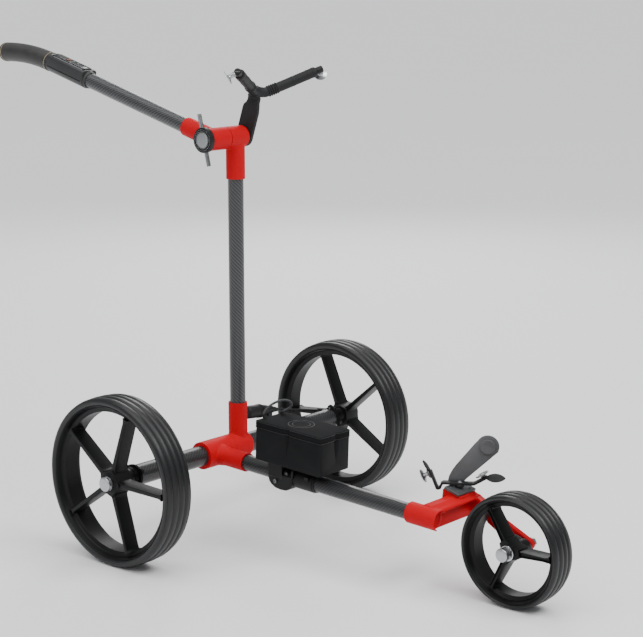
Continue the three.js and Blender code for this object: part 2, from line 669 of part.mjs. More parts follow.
const UPPER_END_X = 20.5;
const UPPER_NEAR_X = -74;
const KNOB_FROM_X = -74.5;
const KNOB_TO_X = -84.5;
const KNOB_RADIUS = 22.5;
const upper = (x) => v(x, 0, UPPER_AXIS_Z);

function makeMastJoint() {
  const from = HINGE_SEAM_X + GAP / 2;
  const barrel = turned(
    [
      [0, from],
      [UPPER_RADIUS, from],
      [UPPER_RADIUS, UPPER_END_X - 4],
      [UPPER_RADIUS - 3, UPPER_END_X],
      [0, UPPER_END_X],
    ],
    32,
  ).translate(0, 0, UPPER_AXIS_Z);
  const sleeve = rod(v(0, 0, UPPER_SLEEVE_FOOT_Z), upper(0), SLEEVE_RADIUS);
  const mastBore = rod(v(0, 0, UPPER_SLEEVE_FOOT_Z - 1), v(0, 0, MAST_TOP_Z + GAP), TUBE_RADIUS + GAP);
  const spindleBore = rod(upper(-40), upper(40), SPINDLE_RADIUS + GAP, 20);
  return cut(join(barrel, sleeve), mastBore, spindleBore);
}
addPiece('mast_joint', makeMastJoint(), 'redPaint');

const HANDLE_SLEEVE_END = 74;
function makeHandleJoint() {
  const barrel = rod(upper(UPPER_NEAR_X), upper(HINGE_SEAM_X - GAP / 2), UPPER_RADIUS, 32);
  const sleeve = rod(alongHandle(0), alongHandle(HANDLE_SLEEVE_END), SLEEVE_RADIUS);
  const tubeBore = rod(alongHandle(24), alongHandle(HANDLE_SLEEVE_END + 1), SLIM_TUBE_RADIUS + GAP);
  const spindleBore = rod(upper(-90), upper(0), SPINDLE_RADIUS + GAP, 20);
  return cut(join(barrel, sleeve), tubeBore, spindleBore);
}
addPiece('handle_joint', makeHandleJoint(), 'redPaint');

// Clamp knob: a round knob on a spindle through the joint, turned by a bar through it
const BAR_X = -79.3;
const BAR_LENGTH = 94;
const BAR_RADIUS = 3.6;
const BAR_TILT = THREE.MathUtils.degToRad(13.8);
const barHalf = v(0, (Math.sin(BAR_TILT) * BAR_LENGTH) / 2, (Math.cos(BAR_TILT) * BAR_LENGTH) / 2);
const barTop = upper(BAR_X).add(barHalf);
const barFoot = upper(BAR_X).sub(barHalf);
const BRACKET_FROM_X = 20.9;
const BRACKET_TO_X = 27.5;
const knob = cut(
  join(
    turned(
      [
        [0, KNOB_FROM_X],
        [KNOB_RADIUS, KNOB_FROM_X],
        [KNOB_RADIUS, KNOB_TO_X + 1],
        [KNOB_RADIUS - 1, KNOB_TO_X],
        [0, KNOB_TO_X],
      ],
      36,
    ).translate(0, 0, UPPER_AXIS_Z),
  ),
  rod(barFoot, barTop, BAR_RADIUS + GAP, 20),
  rod(upper(KNOB_TO_X - 1), upper(KNOB_TO_X + 1.6), 16.3, 32),
);
addPiece('clamp_knob', knob, 'blackPlastic');
addPiece('clamp_knob_cap', rod(upper(KNOB_TO_X + 1.3), upper(KNOB_TO_X - 0.6), 16, 32), 'aluminium');
addPiece('clamp_bar', rod(barFoot, barTop, BAR_RADIUS, 16), 'steel');
addPiece(
  'clamp_spindle',
  join(
    rod(upper(KNOB_FROM_X + GAP), upper(BRACKET_TO_X + 5), SPINDLE_RADIUS, 20),
    rod(upper(BRACKET_TO_X + GAP), upper(BRACKET_TO_X + 6), 9, 6),
  ),
  'steel',
);

// Upper bag bracket: a leaning plate on the spindle, and a yoke with two arms ending in hooks
const YOKE_HEIGHT = 86;
const PLATE_MIDDLE_X = (BRACKET_FROM_X + BRACKET_TO_X) / 2;
const ARM_RADIUS = 9;

function makeBracketPlate() {
  const shape = new THREE.Shape();
  shape.absarc(0, 0, 18.5, Math.PI, 2 * Math.PI);
  shape.lineTo(18.5, 50);
  shape.quadraticCurveTo(18.5, 57, 15, 63);
  shape.lineTo(13.5, YOKE_HEIGHT - 8);
  shape.lineTo(-13.5, YOKE_HEIGHT - 8);
  shape.lineTo(-15, 66);
  shape.quadraticCurveTo(-18.5, 58, -18.5, 50);
  shape.closePath();
  const plate = sidePlate(shape, BRACKET_FROM_X, BRACKET_TO_X, 8);
  const bore = rod(v(0, 0, 0), v(60, 0, 0), SPINDLE_RADIUS + GAP, 20);
  return cut(plate, bore).rotateX(BRACKET_LEAN).translate(0, 0, UPPER_AXIS_Z);
}
addPiece('bag_bracket_plate', makeBracketPlate(), 'softBlack');

const YOKE = v(
  PLATE_MIDDLE_X,
  -Math.sin(BRACKET_LEAN) * YOKE_HEIGHT,
  UPPER_AXIS_Z + Math.cos(BRACKET_LEAN) * YOKE_HEIGHT,
);
const ARM_END = { right: v(-107, -58, 42), left: v(113, -60, 37.5) };
const PLUG_RADIUS = 6.5;
const PLUG_LENGTH = 14;

const ARM_BENDS = {
  right: [v(-14, -6, 3), v(-32, -16, 12)],
  left: [v(14, -4, -2.5), v(30, -13, 1.8)],
};

// Each arm's path stops short of its tip, where a thinner plug carries on
function armPath(name) {
  const [first, second] = ARM_BENDS[name];
  const plug = ARM_END[name].clone().sub(second).setLength(PLUG_LENGTH);
  const end = ARM_END[name].clone().sub(plug);
  const points = [v(0, 0, 0), first, second, end].map((point) => point.clone().add(YOKE));
  return { curve: new THREE.CatmullRomCurve3(points), plug, end: end.clone().add(YOKE) };
}

function makeYoke() {
  const section = new THREE.Shape();
  section.absarc(0, 0, ARM_RADIUS, 0, 2 * Math.PI);
  const arms = SIDES.map(([name]) => {
    const { curve, plug, end } = armPath(name);
    const sleeve = new THREE.ExtrudeGeometry(section, { steps: 8, extrudePath: curve, curveSegments: 7 });
    const tail = end.clone().addScaledVector(plug, -0.3);
    return join(sleeve, rod(tail, end.clone().add(plug), PLUG_RADIUS, 16));
  });
  const root = ball(YOKE, ARM_RADIUS + 2.5, 16);
  const foot = rod(YOKE.clone().add(v(0, 5.5, -13)), YOKE, 8, 20);
  const seat = box(v(PLATE_MIDDLE_X, 0, YOKE_HEIGHT - 18), 30, 60, 20 + GAP * 2);
  seat.rotateX(BRACKET_LEAN).translate(0, 0, UPPER_AXIS_Z);
  return cut(join(...arms, root, foot), seat);
}
addPiece('bag_bracket_yoke', makeYoke(), 'softBlack');

// A silver stud with a broad flange that a bag strap hooks over
function makeHook(start, direction, length = 15) {
  const profile = [[0, 0], [4, 0], [4, length - 3], [12, length], [11.4, length + 1.6], [0, length + 1.6]];
  const turn = new THREE.Quaternion().setFromUnitVectors(X, direction.clone().normalize());
  return turned(profile, 20).applyQuaternion(turn).translate(start.x, start.y, start.z);
}
for (const [name, side] of SIDES) {
  const { plug, end } = armPath(name);
  const outward = v(0.645 * side, 0.59, -0.49).normalize();
  const start = end.clone().addScaledVector(plug, 0.75).addScaledVector(outward, PLUG_RADIUS + GAP);
  addPiece(`${name}_strap_hook`, makeHook(start, outward, 12), 'aluminium');
}

// Lower bag bracket: screwed base plate, and a swivelling strap with a back plate, hooks and leaf pads
const BASE_SLOPE = Math.atan2(9.5, 34);
const SWIVEL = v(27, -491, 156);
const SWIVEL_YAW = THREE.MathUtils.degToRad(-58);

const basePlate = cut(
  pad(50, 32, 4, 2).translate(0, 0, GAP),
  rod(v(0, 0, -5), v(0, 0, 10), 6.3, 24),
).rotateX(BASE_SLOPE).translate(SWIVEL.x, SWIVEL.y, SWIVEL.z);
addPiece('bag_base_plate', basePlate, 'softBlack');

const lower = new THREE.Group();
lower.position.copy(SWIVEL);
lower.rotation.z = SWIVEL_YAW;
fromAxle.add(lower);

// A flat strip bent along a line in (X, Z), its width across Y
function bentStrip(points, width, thickness) {
  const path = points.map(([x, z]) => new THREE.Vector2(x, z));
  const offset = (i, side) => {
    const before = path[Math.max(i - 1, 0)];
    const after = path[Math.min(i + 1, path.length - 1)];
    const normal = after.clone().sub(before).normalize();
    return new THREE.Vector2(path[i].x - normal.y * side, path[i].y + normal.x * side);
  };
  const upperSide = path.map((_, i) => offset(i, thickness / 2));
  const lowerSide = path.map((_, i) => offset(i, -thickness / 2)).reverse();
  const shape = new THREE.Shape([...upperSide, ...lowerSide]);
  const geometry = new THREE.ExtrudeGeometry(shape, { depth: width, bevelEnabled: false });
  return geometry.rotateX(Math.PI / 2).translate(0, width / 2, 0);
}

// A thin leaf-shaped tab, long along X and lying in X and Y
function makeLeaf(length, width) {
  const shape = new THREE.Shape();
  shape.moveTo(0, 0);
  shape.bezierCurveTo(length * 0.2, width * 0.6, length * 0.7, width * 0.75, length, 0);
  shape.bezierCurveTo(length * 0.7, -width * 0.75, length * 0.2, -width * 0.6, 0, 0);
  return new THREE.ExtrudeGeometry(shape, { depth: 2.4, bevelEnabled: false, curveSegments: 6 });
}

// The strap dips beside the base plate on the right, and both arms end in a leaf-shaped tab
const STRAP_LINE = [[-50, 32], [-38, 2], [-33, 3], [-30, 12], [24, 12], [46, 25]];
const STRAP_WIDTH = 12;
const STRAP_THICK = 3;

function makeLowerStrap() {
  const strap = bentStrip(STRAP_LINE, STRAP_WIDTH, STRAP_THICK);
  const post = rod(v(0, 0, 1.9), v(0, 0, 12), 4.8, 20);
  const rightLeaf = makeLeaf(24, 18).rotateY(THREE.MathUtils.degToRad(-125)).translate(-48.5, 0, 30);
  const leftLeaf = makeLeaf(34, 20).rotateX(THREE.MathUtils.degToRad(26)).translate(43, 0, 22.5);
  return join(strap, post, rightLeaf, leftLeaf);
}
addPiece('bag_swivel_strap', makeLowerStrap(), 'softBlack', lower);

function makeBackPlate() {
  const shape = new THREE.Shape();
  shape.moveTo(-21, 9.5);
  shape.quadraticCurveTo(-19.5, 26, -6, 43);
  shape.lineTo(24, 80);
  shape.absarc(45.5, 75, 19.5, 2.6, -0.5, true);
  shape.lineTo(10, 17);
  shape.lineTo(6, 12);
  shape.closePath();
  const geometry = new THREE.ExtrudeGeometry(shape, { depth: 3.5, bevelEnabled: false, curveSegments: 8 });
  return geometry.rotateX(Math.PI / 2).translate(0, 11.5, 0);
}
addPiece('bag_back_plate', makeBackPlate(), 'greyMetal', lower);
addPiece('bag_back_pad', rod(v(45.5, 7.7, 75), v(45.5, 4.7, 75), 13, 28), 'rubber', lower);

// A stud below the right arm's end and one above the left arm's end
addPiece('right_base_hook', makeHook(v(-51, 0, 27.6), v(-0.87, 0.05, -0.49), 12), 'aluminium', lower);
addPiece('left_base_hook', makeHook(v(40, 0, 24.5), v(-0.5, 0.05, 0.86), 4), 'aluminium', lower);

// Handle: tube, control housing, keypad with three buttons and a display, and a curved grip
addPiece(
  'handle_tube',
  tubeBetween(alongHandle(25), alongHandle(368), SLIM_TUBE_RADIUS, TUBE_WALL),
  'carbon',
);

const handle = new THREE.Group();
handle.position.set(HANDLE_X, 0, UPPER_AXIS_Z - HANDLE_DROP);
handle.rotation.x = HANDLE_ANGLE;
fromAxle.add(handle);

const HOUSING_FROM = 346;
const HOUSING_TOP = 15.2;
const HOUSING_RADIUS = 17.6;
function makeHousing() {
  const shape = new THREE.Shape();
  shape.absarc(0, 0, HOUSING_RADIUS, Math.PI, 2 * Math.PI);
  shape.lineTo(HOUSING_RADIUS, HOUSING_TOP - 8);
  shape.quadraticCurveTo(HOUSING_RADIUS, HOUSING_TOP, 11.5, HOUSING_TOP);
  shape.lineTo(-11.5, HOUSING_TOP);
  shape.quadraticCurveTo(-HOUSING_RADIUS, HOUSING_TOP, -HOUSING_RADIUS, HOUSING_TOP - 8);
  shape.closePath();
  const length = HANDLE_STRAIGHT - HOUSING_FROM - GAP;
  const body = new THREE.ExtrudeGeometry(shape, { depth: length, bevelEnabled: false, curveSegments: 14 });
  body.applyMatrix4(new THREE.Matrix4().makeBasis(v(-1, 0, 0), Z, Y)).translate(0, HOUSING_FROM, 0);
  const collar = rod(v(0, HOUSING_FROM - 7, 0), v(0, HOUSING_FROM + 1, 0), 15.6, 28, 16.8);
  const bore = rod(v(0, HOUSING_FROM - 11, 0), v(0, 369, 0), SLIM_TUBE_RADIUS + GAP);
  return cut(join(body, collar), bore);
}
addPiece('control_housing', makeHousing(), 'blackPlastic', handle);

const PANEL_FROM = 352;
const PANEL_TO = 444;
const PANEL_HEIGHT = 3.4;
const BUTTON_TRAVEL = 1;
const BUTTONS = [['faster_button', 380, 9, 9], ['slower_button', 393, 9, 9], ['power_button', 408, 11, 10]];
const DISPLAY_AT = 364;
function makePanel() {
  const middle = (PANEL_FROM + PANEL_TO) / 2;
  const panel = pad(22, PANEL_TO - PANEL_FROM, PANEL_HEIGHT, 7).translate(0, middle, HOUSING_TOP + GAP);
  const windows = BUTTONS.map(([, at, width, length]) => {
    return pad(width + 2 * GAP, length + 2 * GAP, 12, 3, 2).translate(0, at, HOUSING_TOP - 4);
  });
  const display = pad(14 + 2 * GAP, 12 + 2 * GAP, 12, 2, 2).translate(0, DISPLAY_AT, HOUSING_TOP - 4);
  return cut(panel, ...windows, display);
}
addPiece('keypad_panel', makePanel(), 'softBlack', handle);
for (const [name, at, width, length] of BUTTONS) {
  const foot = HOUSING_TOP + GAP + BUTTON_TRAVEL;
  const button = pad(width, length, PANEL_HEIGHT, 2.7, 2).translate(0, at, foot);
  addPiece(name, button, name === 'power_button' ? 'orange' : 'rubber', handle);
}
addPiece(
  'display_window',
  pad(14, 12, PANEL_HEIGHT - 0.4, 1.7).translate(0, DISPLAY_AT, HOUSING_TOP + GAP),
  'glass',
  handle,
);

class GripCurve extends THREE.Curve {
  getPoint(t, target = new THREE.Vector3()) {
    const angle = (t * GRIP_LENGTH) / GRIP_BEND_RADIUS;
    const along = GRIP_BEND_RADIUS * Math.sin(angle);
    const drop = GRIP_BEND_RADIUS * (1 - Math.cos(angle));
    return target.set(0, HANDLE_STRAIGHT + along, -drop);
  }
}

function makeGrip() {
  const path = new GripCurve();
  const section = new THREE.Shape();
  section.absarc(0, 0, GRIP_RADIUS, 0, 2 * Math.PI);
  const sleeve = new THREE.ExtrudeGeometry(section, { steps: 9, extrudePath: path, curveSegments: 10 });
  const end = path.getPoint(1);
  const dome = new THREE.SphereGeometry(GRIP_RADIUS, 20, 10).scale(1, 0.42, 1);
  dome.rotateX(-GRIP_LENGTH / GRIP_BEND_RADIUS).translate(end.x, end.y, end.z);
  return join(sleeve, dome);
}
addPiece('grip', makeGrip(), 'leather', handle);

export default trolley;
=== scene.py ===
import json
import math

import bmesh
import bpy
from mathutils import Matrix, Vector


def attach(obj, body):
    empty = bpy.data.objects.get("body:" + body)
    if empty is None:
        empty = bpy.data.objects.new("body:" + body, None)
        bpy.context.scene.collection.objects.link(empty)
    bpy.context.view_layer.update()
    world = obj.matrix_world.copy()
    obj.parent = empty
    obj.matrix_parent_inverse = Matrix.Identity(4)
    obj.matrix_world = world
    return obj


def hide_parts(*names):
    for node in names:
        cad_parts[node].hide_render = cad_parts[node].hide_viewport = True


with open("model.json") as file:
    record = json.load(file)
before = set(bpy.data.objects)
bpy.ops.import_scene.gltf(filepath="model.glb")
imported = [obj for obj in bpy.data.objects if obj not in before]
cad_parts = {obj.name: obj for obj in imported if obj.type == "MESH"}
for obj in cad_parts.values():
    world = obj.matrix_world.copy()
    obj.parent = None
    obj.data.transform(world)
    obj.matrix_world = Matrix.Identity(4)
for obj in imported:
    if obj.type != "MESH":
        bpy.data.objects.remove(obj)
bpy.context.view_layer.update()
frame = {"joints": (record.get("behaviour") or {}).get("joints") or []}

MM = 0.001
DEGREE = math.pi / 180


def joint_mm(name):
    """A joint's place in the frame, in millimetres."""
    joint = next(j for j in frame["joints"] if j["name"] == name)
    return Vector(joint["pos_m"]) / MM


# Driving places, all from the frame
CENTRE_Y = joint_mm("mast_fold").y
AXLE_Z = joint_mm("mast_fold").z
UPPER_Z = joint_mm("handle_fold").z
FRONT_AXLE = joint_mm("front_wheel_roll") - Vector((0, CENTRE_Y, 0))
SWIVEL = joint_mm("lower_bag_bracket_swivel") - Vector((0, CENTRE_Y, 0))
FRONT_TUBE_X = -62
FRONT_TUBE_SLOPE = 2.24 * DEGREE
HANDLE_X = -50
HANDLE_ANGLE = 15.5 * DEGREE
BRACKET_LEAN = 18.9 * DEGREE
SWIVEL_YAW = -58 * DEGREE
FLOOR_REACH = 400000

# Radii and walls of the round stock, and the bores of the castings that hold it
TUBE_RADIUS, TUBE_WALL, TUBE_BORE = 14.2, 2, 14.5
MOTOR_TUBE_RADIUS, MOTOR_TUBE_WALL, MOTOR_TUBE_BORE = 18.5, 2.5, 18.7
PIN_RADIUS, PIN_BORE = 10, 10.3
BOLT_RADIUS, BOLT_BORE = 5, 5.3
HUB_RADIUS, JOINT_RADIUS, SLEEVE_RADIUS = 25.2, 20.2, 17.2

# Wheels: outer radius, width over the tyre, radius of the tyre's seat and depth of the rim's floor
REAR_RADIUS, REAR_WIDTH, REAR_SEAT, REAR_RIM_DEPTH = 150, 59, 134, 10
FRONT_RADIUS, FRONT_WIDTH, FRONT_SEAT, FRONT_RIM_DEPTH = 95, 54, 84, 9
REAR_WHEEL_X = 297.5


# ---------------------------------------------------------------- camera, floor and light
CAMERA_AZIMUTH, CAMERA_ELEVATION = -49.04 * DEGREE, 11.5 * DEGREE
CAMERA_PLACE = (-2.2688, -2.1745 + CENTRE_Y * MM, 1.0289)
CAMERA_LENS = 97.83


def make_camera():
    """The fitted view: azimuth from straight in front, elevation above the horizon."""
    data = bpy.data.cameras.new("camera")
    data.sensor_width = 36
    data.lens = CAMERA_LENS
    data.clip_end = 100
    camera = bpy.data.objects.new("camera", data)
    bpy.context.scene.collection.objects.link(camera)
    level = math.cos(CAMERA_ELEVATION)
    back = Vector(
        (math.sin(CAMERA_AZIMUTH) * level, -math.cos(CAMERA_AZIMUTH) * level, math.sin(CAMERA_ELEVATION))
    )
    camera.location = CAMERA_PLACE
    camera.rotation_mode = "QUATERNION"
    camera.rotation_quaternion = (-back).to_track_quat("-Z", "Y")
    bpy.context.scene.camera = camera


def area_light(name, place, target, size, power):
    """A rectangular light at a place, facing a target; sizes and places in metres."""
    data = bpy.data.lights.new(name, "AREA")
    data.shape = "RECTANGLE"
    data.size, data.size_y = size
    data.energy = power
    lamp = bpy.data.objects.new(name, data)
    bpy.context.scene.collection.objects.link(lamp)
    lamp.location = place
    lamp.rotation_mode = "QUATERNION"
    lamp.rotation_quaternion = (Vector(place) - Vector(target)).to_track_quat("Z", "Y")


def make_studio():
    """Pale floor, an even world, three area lights and a wide, soft sun."""
    world = bpy.data.worlds.new("studio")
    bpy.context.scene.world = world
    world.use_nodes = True
    background = world.node_tree.nodes["Background"]
    background.inputs["Color"].default_value = (0.97, 0.98, 1.0, 1)
    background.inputs["Strength"].default_value = 0.42
    target = (0, 0, 0.4)
    area_light("key", (0.4, -2.6, 3.2), target, (2.4, 1.2), 75)
    area_light("side", (-3.2, 0.6, 1.9), target, (0.7, 2.2), 18)
    area_light("rim", (2.6, 2.0, 2.2), target, (1.2, 2.2), 40)
    sun = bpy.data.lights.new("sky", "SUN")
    sun.energy = 2.6
    sun.angle = 75 * DEGREE
    lamp = bpy.data.objects.new("sky", sun)
    bpy.context.scene.collection.objects.link(lamp)
    lamp.rotation_mode = "QUATERNION"
    lamp.rotation_quaternion = Vector((-0.25, -0.1, 1)).to_track_quat("Z", "Y")
    corners = [(x * FLOOR_REACH, y * FLOOR_REACH, 0) for x, y in ((-1, -1), (1, -1), (1, 1), (-1, 1))]
    floor = mesh_object("floor", Solid(corners, [(0, 1, 2, 3)]))
    floor.data.materials.append(MATERIALS["floor"])


# ---------------------------------------------------------------- materials
class Shader:
    """A new material's node tree, with short ways to add and link nodes."""

    def __init__(self, name):
        self.material = bpy.data.materials.new(name)
        self.material.use_nodes = True
        self.nodes = self.material.node_tree.nodes
        self.links = self.material.node_tree.links

    def add(self, kind, output, inputs, **settings):
        """Makes a node, sets or links its inputs, and returns one of its outputs."""
        made = self.nodes.new("ShaderNode" + kind)
        for key, value in settings.items():
            setattr(made, key, value)
        for key, value in inputs.items():
            if isinstance(value, bpy.types.NodeSocket):
                self.links.new(value, made.inputs[key])
            else:
                made.inputs[key].default_value = value
        return made.outputs[output]

    def math(self, operation, *values):
        return self.add("Math", 0, dict(enumerate(values)), operation=operation)

    def place(self):
        return self.add("TexCoord", "Object", {})

    def noise(self, scale, detail=3.0, stretch=(1, 1, 1)):
        place = self.add("Mapping", "Vector", {"Vector": self.place(), "Scale": stretch})
        return self.add("TexNoise", "Fac", {"Vector": place, "Scale": scale, "Detail": detail})

    def ramp(self, factor, low, high, dark, light):
        colour = self.add("ValToRGB", "Color", {"Fac": factor})
        for element, position, value in zip(colour.node.color_ramp.elements, (low, high), (dark, light)):
            element.position = position
            element.color = (*value, 1)
        return colour

    def spread(self, factor, low, high):
        """Stretches the middle of a noise over low to high."""
        limits = {"From Min": 0.3, "From Max": 0.7, "To Min": low, "To Max": high}
        return self.add("MapRange", "Result", {"Value": factor, **limits})

    def bump(self, height, strength, distance):
        return self.add("Bump", "Normal", {"Height": height, "Strength": strength, "Distance": distance})

    def finish(self, colour, roughness, normal, uniform):
        """Links the varying sockets of the shader and sets the uniform ones."""
        inputs = self.nodes["Principled BSDF"].inputs
        for key, value in (("Base Color", colour), ("Roughness", roughness), ("Normal", normal)):
            self.links.new(value, inputs[key])
        for key, value in uniform.items():
            inputs[key].default_value = value
        return self.material


def surface(
    name, colour, roughness, metallic=0.0, variation=0.15, patch=18.0, grain=900.0, depth=0.00004,
    stretch=(1, 1, 1), coat=0.0, specular=0.5, rough_spread=0.06
):
    """A painted, moulded or metal surface: slow colour patches, a fine grain and uneven gloss."""
    shader = Shader(name)
    patches = shader.noise(patch, 2.0)
    fine = shader.noise(grain, 4.0, stretch)
    dark = tuple(c * (1 - variation) for c in colour)
    light = tuple(min(1.0, c * (1 + variation)) for c in colour)
    mixed = shader.math("MULTIPLY_ADD", fine, 0.5, shader.math("MULTIPLY", patches, 0.5))
    uniform = {
        "Metallic": metallic, "Specular IOR Level": specular, "Coat Weight": coat, "Coat Roughness": 0.25
    }
    return shader.finish(
        shader.ramp(mixed, 0.35, 0.65, dark, light),
        shader.spread(fine, roughness - rough_spread, roughness + rough_spread),
        shader.bump(fine, 0.6, depth), uniform
    )


def carbon_fibre(name, sheen_strength):
    """2/2 twill: warp and weft tows two over, two under, in UV metres round and along the tube. The tows'
    light and dark is painted sheen, with a painted highlight along each tow's crown.
    """
    shader = Shader(name)
    tow = 0.0017
    split = shader.add("SeparateXYZ", 0, {"Vector": shader.add("UVMap", "UV", {}, uv_map="UVMap")}).node
    u, v = (shader.math("DIVIDE", split.outputs[axis], tow) for axis in "XY")
    cell = shader.math("ADD", shader.math("FLOOR", u), shader.math("FLOOR", v))
    turn_of_four = shader.math("FLOORED_MODULO", cell, 4.0)
    warp = shader.math("LESS_THAN", turn_of_four, 1.5)
    # One cell in four is painted lighter again, as a painted sheen
    sheen_cell = shader.math("LESS_THAN", turn_of_four, 0.5)
    # Each tow is rounded across its width
    round_u, round_v = (
        shader.math("SINE", shader.math("MULTIPLY", shader.math("FRACT", across), math.pi))
        for across in (u, v)
    )
    weave = shader.add("Mix", 0, {0: warp, 2: round_v, 3: round_u}, data_type="FLOAT")
    # Painted sheen: warp cells lighter than weft, one cell in four lighter again, and each tow lighter along
    # its crown as a painted highlight; the bump keeps the real rounding
    both = shader.math("ADD", shader.math("MULTIPLY", warp, 0.14), shader.math("MULTIPLY", sheen_cell, 0.46))
    painted_sheen = shader.math("MULTIPLY_ADD", weave, 0.45, both)
    dark, light = ([c * sheen_strength for c in tone] for tone in ((0.003,) * 3, (0.085, 0.088, 0.092)))
    uniform = {"Specular IOR Level": 0.35, "Coat Weight": 0.35, "Coat Roughness": 0.2, "Coat IOR": 1.4}
    return shader.finish(
        shader.ramp(painted_sheen, 0.05, 1.0, dark, light), shader.spread(shader.noise(30.0, 2.0), 0.30, 0.40),
        shader.bump(weave, 0.35, 0.00025), uniform
    )


def leather_grip(name):
    """Smooth leather: pebbled grain from cell edges, worn a little lighter in patches."""
    shader = Shader(name)
    cells = {"Vector": shader.place(), "Scale": 1100.0}
    edges = shader.add("TexVoronoi", "Distance", cells, feature="DISTANCE_TO_EDGE")
    pebble = shader.math("MINIMUM", edges, 0.25)
    patches = shader.noise(45.0, 4.0)
    return shader.finish(
        shader.ramp(patches, 0.35, 0.7, (0.012, 0.0115, 0.011), (0.022, 0.021, 0.020)),
        shader.spread(patches, 0.42, 0.54), shader.bump(pebble, 0.5, 0.0002),
        {"Specular IOR Level": 0.45, "Sheen Weight": 0.08}
    )


def woven_cord(name):
    """Braided sheath: two crossing diagonal waves."""
    shader = Shader(name)
    waves = []
    for tilt in (math.pi / 4, -math.pi / 4):
        place = shader.add("Mapping", "Vector", {"Vector": shader.place(), "Rotation": (0, tilt, tilt)})
        waves.append(shader.add("TexWave", "Fac", {"Vector": place, "Scale": 420.0}))
    braid = shader.math("MAXIMUM", *waves)
    return shader.finish(
        shader.ramp(braid, 0.2, 0.9, (0.012, 0.012, 0.013), (0.055, 0.057, 0.06)),
        shader.spread(braid, 0.6, 0.75), shader.bump(braid, 0.6, 0.0003), {}
    )


# Name: base colour, roughness, and what differs from surface()'s defaults
SURFACES = {
    "floor": (
        (0.86, 0.86, 0.87), 0.7,
        dict(variation=0.01, patch=0.8, grain=60.0, depth=0.00001, specular=0.2),
    ),
    "red_paint": (
        (0.48, 0.0015, 0.007), 0.55,
        dict(variation=0.05, grain=1400.0, specular=0.1, depth=0.00003),
    ),
    "black_plastic": (
        (0.0088, 0.0092, 0.0098), 0.55,
        dict(specular=0.1, variation=0.2, grain=2200.0, depth=0.00005),
    ),
    "lid_plastic": (
        (0.0095, 0.0099, 0.0105), 0.75,
        dict(specular=0.05, variation=0.2, grain=2200.0, depth=0.00005),
    ),
    "housing_black": ((0.024, 0.0245, 0.025), 0.42, dict(specular=0.35, variation=0.15, grain=1800.0)),
    "wheel_plastic": (
        (0.004, 0.0043, 0.0046), 0.42,
        dict(specular=0.2, variation=0.18, grain=1600.0, depth=0.00004),
    ),
    "soft_black": (
        (0.0062, 0.0066, 0.007), 0.48,
        dict(specular=0.3, variation=0.15, grain=1800.0, depth=0.00004),
    ),
    "bracket_black": (
        (0.017, 0.0175, 0.018), 0.55,
        dict(specular=0.18, variation=0.25, grain=2600.0, depth=0.00006),
    ),
    "tyre": (
        (0.0058, 0.0062, 0.0066), 0.4,
        dict(specular=0.42, variation=0.12, grain=1300.0, depth=0.00005),
    ),
    "button_rubber": ((0.018, 0.019, 0.02), 0.6, dict(specular=0.3, variation=0.1, grain=1500.0)),
    "blade_grey": (
        (0.085, 0.087, 0.09), 0.6,
        dict(specular=0.3, variation=0.3, grain=1100.0, depth=0.00012),
    ),
    "grey_metal": (
        (0.10, 0.104, 0.108), 0.45,
        dict(metallic=0.7, variation=0.25, grain=1500.0, depth=0.0001),
    ),
    "steel": (
        (0.20, 0.205, 0.21), 0.32,
        dict(metallic=1.0, variation=0.2, grain=700.0, stretch=(1, 1, 0.05)),
    ),
    "aluminium": (
        (0.42, 0.43, 0.44), 0.3,
        dict(metallic=1.0, variation=0.08, grain=900.0, stretch=(0.1, 1, 1)),
    ),
    "disc_metal": (
        (0.30, 0.31, 0.32), 0.42,
        dict(metallic=0.9, variation=0.1, grain=500.0, stretch=(1, 1, 0.05)),
    ),
    "chrome": ((0.6, 0.61, 0.62), 0.14, dict(metallic=1.0, variation=0.04, rough_spread=0.03)),
    "button_orange": ((0.65, 0.12, 0.03), 0.5, dict(variation=0.08)),
    "mark_grey": ((0.30, 0.31, 0.32), 0.5, dict(variation=0.08)),
    "display": ((0.16, 0.19, 0.20), 0.14, dict(variation=0.05, coat=0.6)),
    "stitch": ((0.50, 0.38, 0.22), 0.7, dict(variation=0.15, grain=2500.0, depth=0.0001)),
}
MATERIALS = {name: surface(name, *base, **rest) for name, (*base, rest) in SURFACES.items()}
MATERIALS["carbon"] = carbon_fibre("carbon", 1.0)
# A darker copy of the same carbon at half the painted sheen: painted shade for the lower tubes
MATERIALS["carbon_shaded"] = carbon_fibre("carbon_shaded", 0.5)
MATERIALS["leather"] = leather_grip("leather")
MATERIALS["cord"] = woven_cord("cord")


# ---------------------------------------------------------------- solids, drawn in millimetres
class Solid:
    """Corners, faces and, for a weave, UVs: all in millimetres."""

    def __init__(self, verts, faces, uvs=None):
        self.verts = [Vector(v) for v in verts]
        self.faces = faces
        self.uvs = uvs

    def moved(self, matrix):
        flip = matrix.to_3x3().determinant() < 0
        faces = [tuple(reversed(f)) for f in self.faces] if flip else self.faces
        return Solid([matrix @ v for v in self.verts], faces, None if flip else self.uvs)


def at(x, y, z):
    return Matrix.Translation((x, y, z))


def turn(degrees, axis):
    """A rotation about an axis through the origin."""
    return Matrix.Rotation(degrees * DEGREE, 4, axis)


def aim(start, end, roll=0.0):
    """Places a solid drawn along +X so that it starts at `start` and points at `end`."""
    along = (Vector(end) - Vector(start)).normalized()
    return Matrix.Translation(start) @ along.to_track_quat("X", "Z").to_matrix().to_4x4() @ turn(roll, "X")


# (Y, Z) outlines whose thickness runs along X, and (X, Z) outlines whose thickness runs along +Y
SIDE_ON = Matrix(((0, 0, 1, 0), (1, 0, 0, 0), (0, 1, 0, 0), (0, 0, 0, 1)))
FACE_ON = Matrix(((1, 0, 0, 0), (0, 0, -1, 0), (0, 1, 0, 0), (0, 0, 0, 1)))


